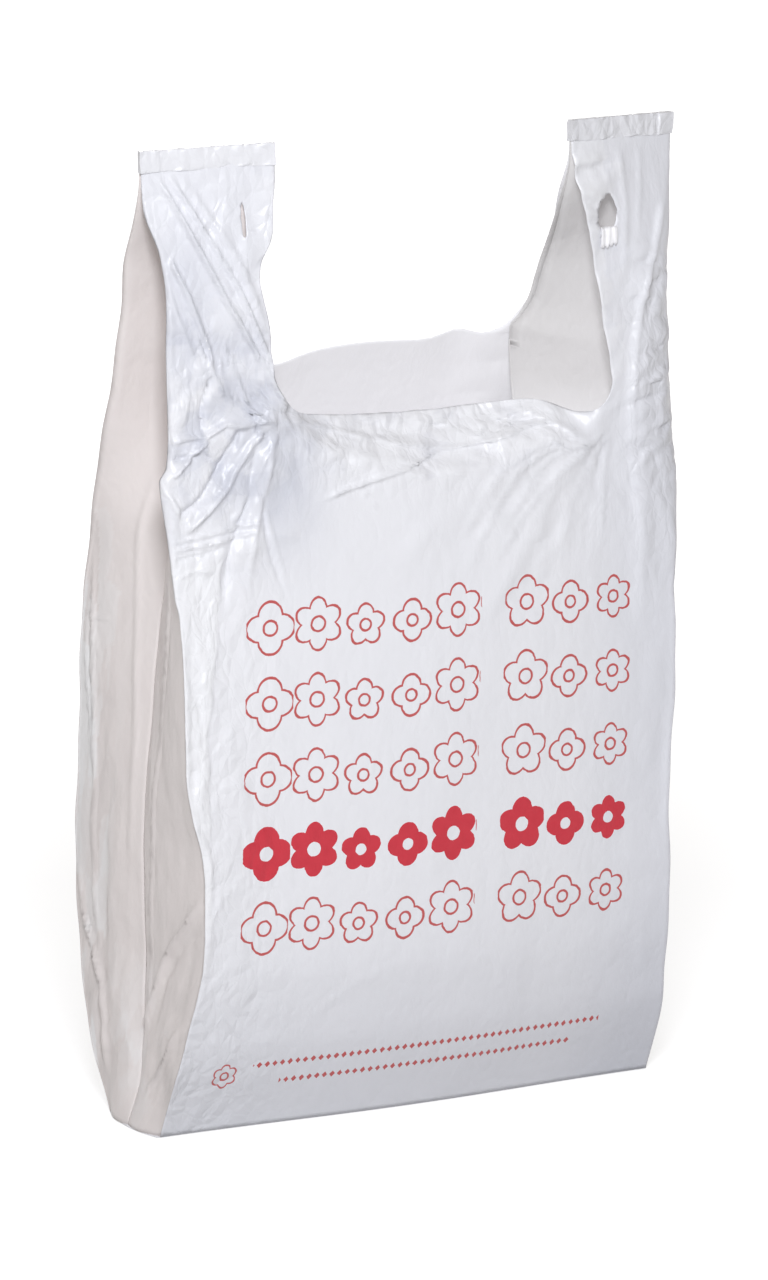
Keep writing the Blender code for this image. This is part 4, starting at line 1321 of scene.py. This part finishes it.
def ink_mask(n):
    """Shares of the outlined and the filled ink.

    The film's own map gives the place across and up. It is cut into rows and cells, a rosette fills
    a cell, and a gap parts each row's two groups. Every other pair of rosettes is smaller. Below
    them are two rows of lozenges, with one small rosette in the corner.
    """
    film_map = n.add("ShaderNodeUVMap", uv_map="film").outputs[0]
    jitter = n.add("ShaderNodeTexNoise", {"Vector": film_map, "Scale": 420.0, "Detail": 1.0})
    split = n.add("ShaderNodeSeparateXYZ", {"Vector": film_map})
    waver = n.times(n.minus(jitter.outputs["Fac"], 0.5), PRINT_WAVER)
    across = n.plus(n.minus(split.outputs[0], PRINT_SHIFT[0]), waver)
    level = n.plus(n.minus(split.outputs[1], PRINT_SHIFT[1]), waver)

    row = n.math("FLOOR", n.over(n.minus(level, FIRST_ROW - ROW_PITCH / 2), ROW_PITCH))
    above_first = n.minus(level, FIRST_ROW)
    up = n.minus(above_first, n.times(row, ROW_PITCH))
    from_start = n.minus(across, n.plus(n.times(above_first, ROW_SLANT), ROW_START))
    second_group = n.math("GREATER_THAN", from_start, SECOND_GROUP)
    place = n.over(n.minus(from_start, n.times(second_group, GROUP_SHIFT)), ROSETTE_PITCH)
    column = n.math("FLOOR", place)
    beside = n.times(n.minus(n.minus(place, column), 0.5), ROSETTE_PITCH)
    in_rows = n.between(row, -0.5, ROW_COUNT - 0.5)
    in_columns = n.between(column, -0.5, ROSETTE_COUNT - 0.5)
    inside = n.times(in_rows, in_columns, n.minus(1.0, n.between(from_start, *GROUP_GAP)))

    petals = n.plus(4.0, n.math("MODULO", n.times(column, 2.0), 3.0))
    small = n.math("MODULO", n.math("FLOOR", n.over(column, 2.0)), 2.0)
    size = n.minus(ROSETTE_RADIUS, n.times(small, ROSETTE_LESS))
    up = n.plus(up, n.times(small, ROSETTE_LESS))
    outside, radius = rosette(n, beside, up, size, petals, PETAL_DEPTH)
    eye = n.minus(radius, n.times(size, EYE_SHARE))
    outline = n.most(ink_stroke(n, outside, OUTLINE_HALF), ink_stroke(n, eye, EYE_LINE_HALF))
    body = n.times(n.math("LESS_THAN", outside, 0.0008), n.math("GREATER_THAN", eye, 0.0))
    full_row = n.math("COMPARE", row, FILLED_ROW, 0.1)
    filled = n.times(body, full_row, inside)
    outlined = n.times(outline, n.minus(1.0, full_row), inside)

    lozenges = [lozenge_row(n, across, level, *sizes) for sizes in LOZENGE_ROWS]
    beside, up = n.minus(across, CORNER_ROSETTE[0]), n.minus(level, CORNER_ROSETTE[1])
    outside, radius = rosette(n, beside, up, CORNER_RADIUS, 6.0, 0.25)
    corner = n.most(ink_stroke(n, outside, CORNER_LINE_HALF),
                    ink_stroke(n, n.minus(radius, CORNER_EYE), CORNER_LINE_HALF))
    return n.most(outlined, *lozenges, corner), filled


# Colours of a film: two of its cloud, its draw lines, and its whiter and greyer tones, where it lies
# double and single and where painted highlight and painted shade go
COOL = ((0.815, 0.815, 0.845, 1), (0.865, 0.86, 0.885, 1), (0.90, 0.90, 0.92, 1),
        (0.93, 0.93, 0.945, 1), (0.63, 0.64, 0.70, 1))
# painted shade: the left gusset's copy of the film, warmer and greyer as it lies in shade
WARM_SHADE = ((0.79, 0.725, 0.705, 1), (0.83, 0.77, 0.75, 1), (0.86, 0.82, 0.80, 1),
        (0.93, 0.92, 0.92, 1), (0.66, 0.615, 0.60, 1))
# painted shade: the right gusset's copy of the film, greyer as it lies inside the mouth
MOUTH_SHADE = ((0.80, 0.785, 0.78, 1), (0.84, 0.825, 0.82, 1), (0.86, 0.845, 0.84, 1),
         (0.90, 0.89, 0.885, 1), (0.65, 0.63, 0.62, 1))
WELD = tuple((0.94 * red, 0.94 * green, 0.94 * blue, 1) for red, green, blue, _ in COOL)
# painted shade: the inner faces' copy of the film, greyer, with a painted glow in its material
INNER_SHADE = ((0.77, 0.76, 0.775, 1), (0.81, 0.80, 0.815, 1), (0.83, 0.825, 0.835, 1),
           (0.83, 0.825, 0.835, 1), (0.77, 0.76, 0.775, 1))

# Each film's name, whether it is printed, its colours, its painted glow that stands in for light from
# inside, and its shares of fine facets: the even share, and the share that grows by the left strap and
# the lip
FILMS = (
    ("printed_film", True, COOL, 0.0, (0.20, 0.80)),
    ("milky_film", False, COOL, 0.0, (0.30, 0.0)),
    # left gusset: a copy of the film with painted shade
    ("left_gusset_shaded_film", False, WARM_SHADE, 0.0, (0.20, 0.0)),
    # right gusset: a copy of the film with painted shade
    ("right_gusset_shaded_film", False, MOUTH_SHADE, 0.0, (0.20, 0.0)),
    ("welded_film", False, WELD, 0.0, (1.0, 0.0)),
    # inner faces: a greyer copy of the film with painted shade and a painted glow
    ("inner_shaded_glowing_film", False, INNER_SHADE, 0.18, (0.15, 0.0)))


def film_colour(n, cloud, draw_lines, tones):
    """Cloudy colour with faint draw lines, whiter where the tone is above 0 and greyer below: film
    lying double or single, and painted highlight and painted shade.
    """
    colour = n.mix(cloud, tones[0], tones[1])
    colour = n.mix(n.math("MULTIPLY", draw_lines, 0.35, clamp=True), colour, tones[2])
    tone = n.add("ShaderNodeAttribute", attribute_name="tone").outputs["Fac"]
    # the tone carries painted shade and painted highlight as well as film lying double or single
    colour = n.mix(n.math("MULTIPLY", tone, 1.0, clamp=True), colour, tones[3])
    return n.mix(n.math("MULTIPLY", tone, -1.0, clamp=True), colour, tones[4])


def inked(n, place, colour):
    """The film's colour with the red ink over it, a little patchy where it is filled."""
    outlined, filled = ink_mask(n)
    patchy = n.add("ShaderNodeTexNoise", {"Vector": place, "Scale": 160.0, "Detail": 3.0})
    colour = n.mix(filled, colour, n.mix(patchy.outputs["Fac"], *INK_FILL))
    return n.mix(n.times(outlined, 0.93), colour, INK_LINE)


def facet_share(n, place, even, grown):
    """Share of the fine facets: the even share, and the grown share by the left strap and the lip.

    The grown share rises towards the left, above the lip's fold and on the right strap's rolled side.
    """
    split = n.add("ShaderNodeSeparateXYZ", {"Vector": place})
    across, level = split.outputs[0], split.outputs[2]
    left = n.rise(across, -0.080, -0.120)
    on_lip = n.times(n.rise(level, 0.325, 0.360), n.rise(across, 0.095, 0.065))
    strap_levels = n.times(n.rise(level, 0.450, 0.420), n.rise(level, 0.250, 0.330))
    rolled = n.times(n.rise(across, 0.112, 0.124), strap_levels)
    return n.plus(even, n.times(grown, n.most(left, on_lip, rolled)))


def wrinkles(n, place, tall, draw_lines, share):
    """Height of the small wrinkles: facets of two sizes, draw lines, pebbles and grain.

    The facets are the distance to the edges of scattered cells, on places bent by soft noise.
    """
    warp = n.add("ShaderNodeTexNoise", {"Vector": place, "Scale": 30.0, "Detail": 2.0})
    bent = n.add("ShaderNodeVectorMath", {0: warp.outputs["Color"], 1: (0.02, 0.02, 0.02)},
                 operation="MULTIPLY").outputs[0]
    bent = n.add("ShaderNodeVectorMath", {0: place, 1: bent}, operation="ADD").outputs[0]
    bent = n.add("ShaderNodeMapping", {"Vector": bent, "Scale": (1.0, 1.0, 0.55)}).outputs[0]
    large, small = [
        n.add("ShaderNodeTexVoronoi", {"Vector": bent, "Scale": scale},
              feature="DISTANCE_TO_EDGE").outputs["Distance"] for scale in (62.0, 150.0)]
    pebble = n.add("ShaderNodeTexVoronoi", {"Vector": place, "Scale": 210.0}, feature="SMOOTH_F1")
    grain = n.add("ShaderNodeTexNoise", {"Vector": tall, "Scale": 420.0, "Detail": 2.0})
    facets = n.times(n.plus(large, n.times(small, 0.5)), share, 3.6)
    return n.plus(facets, n.times(draw_lines, 0.45), n.times(pebble.outputs["Distance"], 0.25),
                  n.times(grain.outputs["Fac"], 0.10))


def film_material(name, printed, tones, painted_glow, facets):
    """Milky satin film: cloudy colour, ink if printed, small wrinkles and faint draw lines.

    Its glow is painted light: a faint even emission that stands in for the light reaching the inside
    through the thin film.
    """
    n = Nodes(name)
    place = n.add("ShaderNodeTexCoord").outputs["Object"]
    tall = n.add("ShaderNodeMapping", {"Vector": place, "Scale": (1.0, 1.0, 0.35)}).outputs[0]
    cloud = n.add("ShaderNodeTexNoise", {"Vector": place, "Scale": 14.0, "Detail": 3.0}).outputs["Fac"]
    draw_lines = n.add("ShaderNodeTexNoise", {"Vector": tall, "Scale": 95.0, "Detail": 4.0,
                                              "Roughness": 0.6}).outputs["Fac"]
    colour = film_colour(n, cloud, draw_lines, tones)
    colour = inked(n, place, colour) if printed else colour
    n.put(n.shader.inputs["Base Color"], colour)
    n.put(n.shader.inputs["Roughness"], n.plus(0.31, n.times(cloud, 0.12)))
    n.shader.inputs["IOR"].default_value = 1.5
    n.shader.inputs["Specular IOR Level"].default_value = 0.5
    # painted glow: even emission that stands in for light through the film
    n.shader.inputs["Emission Color"].default_value = (0.97, 0.97, 1.0, 1)
    n.shader.inputs["Emission Strength"].default_value = painted_glow
    height = wrinkles(n, place, tall, draw_lines, facet_share(n, place, *facets))
    bump = n.add("ShaderNodeBump", {"Height": height, "Strength": 0.5, "Distance": 0.0012})
    n.put(n.shader.inputs["Normal"], bump.outputs[0])
    return n.material


def floor_material():
    """White floor that still shows the bag's shadow: camera and mirror rays get extra light.

    That glow rises with the distance from the bag, so the floor ends in plain white.
    """
    n = Nodes("studio_floor")
    n.tree.nodes.remove(n.shader)
    output = n.tree.nodes["Material Output"]
    paths = n.add("ShaderNodeLightPath")
    seen = n.most(*[paths.outputs[f"Is {kind} Ray"] for kind in ("Camera", "Glossy", "Transmission")])
    matte = n.add("ShaderNodeBsdfDiffuse", {"Color": (0.62, 0.62, 0.62, 1)})
    place = n.add("ShaderNodeTexCoord").outputs["Object"]
    away = n.add("ShaderNodeVectorMath", {0: place}, operation="LENGTH").outputs["Value"]
    far = n.add("ShaderNodeMapRange", {"Value": away, "From Min": 0.5, "From Max": 2.5,
                                       "To Min": 0.62, "To Max": 1.0}).outputs[0]
    glow = n.add("ShaderNodeEmission", {"Color": (1, 1, 1, 1), "Strength": n.times(seen, far)})
    both = n.add("ShaderNodeAddShader")
    n.tree.links.new(matte.outputs[0], both.inputs[0])
    n.tree.links.new(glow.outputs[0], both.inputs[1])
    n.tree.links.new(both.outputs[0], output.inputs["Surface"])
    return n.material


# Studio

FLOOR_HALF = 14.0
CAMERA_AZIMUTH = radians(28)
CAMERA_ELEVATION = radians(12)
CAMERA_DISTANCE = 3.9
CAMERA_TARGET = (0.00074, -0.00313, 0.24463)
CAMERA_LENS = 209.5
WORLD_COLOUR = (1.0, 0.965, 0.945, 1)
WORLD_STRENGTH = 0.37
LAMP_TARGET = (0, 0, 0.27)

# Each lamp's name, place, size, power and colour
LAMPS = (
    ("key", (-0.85, -1.6, 1.25), (0.34, 0.34), 27, (0.93, 0.955, 1.0)),
    ("side", (-2.2, 0.4, 1.0), (0.6, 0.8), 0.8, (1.0, 0.955, 0.925)),
    ("back", (0.9, 2.4, 1.4), (0.8, 0.8), 15, (1.0, 0.98, 0.965)))


def add_floor():
    """Square floor at the height of the bag's underside."""
    mesh = bpy.data.meshes.new("floor")
    corners = [(x * FLOOR_HALF, y * FLOOR_HALF, 0) for x, y in ((-1, -1), (1, -1), (1, 1), (-1, 1))]
    mesh.from_pydata(corners, [], [(0, 1, 2, 3)])
    mesh.materials.append(floor_material())
    floor = bpy.data.objects.new("floor", mesh)
    bpy.context.scene.collection.objects.link(floor)


def add_lamp(name, place, size, power, colour):
    """Rectangular lamp that faces the middle of the bag."""
    data = bpy.data.lights.new(name, "AREA")
    data.shape = "RECTANGLE"
    data.size, data.size_y = size
    data.energy = power
    data.color = colour
    lamp = bpy.data.objects.new(name, data)
    lamp.location = place
    look = Vector(LAMP_TARGET) - Vector(place)
    lamp.rotation_euler = look.to_track_quat("-Z", "Y").to_euler()
    bpy.context.scene.collection.objects.link(lamp)


def add_camera():
    """Camera on a sphere round its target, with its axes worked out from azimuth and elevation."""
    flat = cos(CAMERA_ELEVATION)
    look = Vector((sin(CAMERA_AZIMUTH) * flat, cos(CAMERA_AZIMUTH) * flat, -sin(CAMERA_ELEVATION)))
    right = Vector((cos(CAMERA_AZIMUTH), -sin(CAMERA_AZIMUTH), 0))
    up = right.cross(look)
    data = bpy.data.cameras.new("camera")
    data.lens = CAMERA_LENS
    data.clip_end = 60
    camera = bpy.data.objects.new("camera", data)
    turn = Matrix((right, up, -look)).transposed().to_4x4()
    camera.matrix_world = Matrix.Translation(Vector(CAMERA_TARGET) - CAMERA_DISTANCE * look) @ turn
    bpy.context.scene.collection.objects.link(camera)
    bpy.context.scene.camera = camera


def add_studio():
    """Pale world, floor and lamps."""
    add_floor()
    world = bpy.data.worlds.new("studio")
    bpy.context.scene.world = world
    world.use_nodes = True
    background = world.node_tree.nodes["Background"]
    background.inputs["Color"].default_value = WORLD_COLOUR
    background.inputs["Strength"].default_value = WORLD_STRENGTH
    for lamp in LAMPS:
        add_lamp(*lamp)
    bpy.context.scene.view_settings.view_transform = "Standard"


def main():
    """Builds the bag's pieces, joins them to the part, and adds the camera and the studio."""
    printed, plain, left, right, weld, inner = [film_material(*film) for film in FILMS]
    pieces = film_pieces(printed, plain, left, right, inner) + [base_sheet(plain)]
    pieces += [weld_strip(side, weld) for side in (LEFT, RIGHT)]
    for piece in pieces:
        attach(piece, "root")
        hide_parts("film_bag")
    add_camera()
    add_studio()
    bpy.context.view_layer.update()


main()
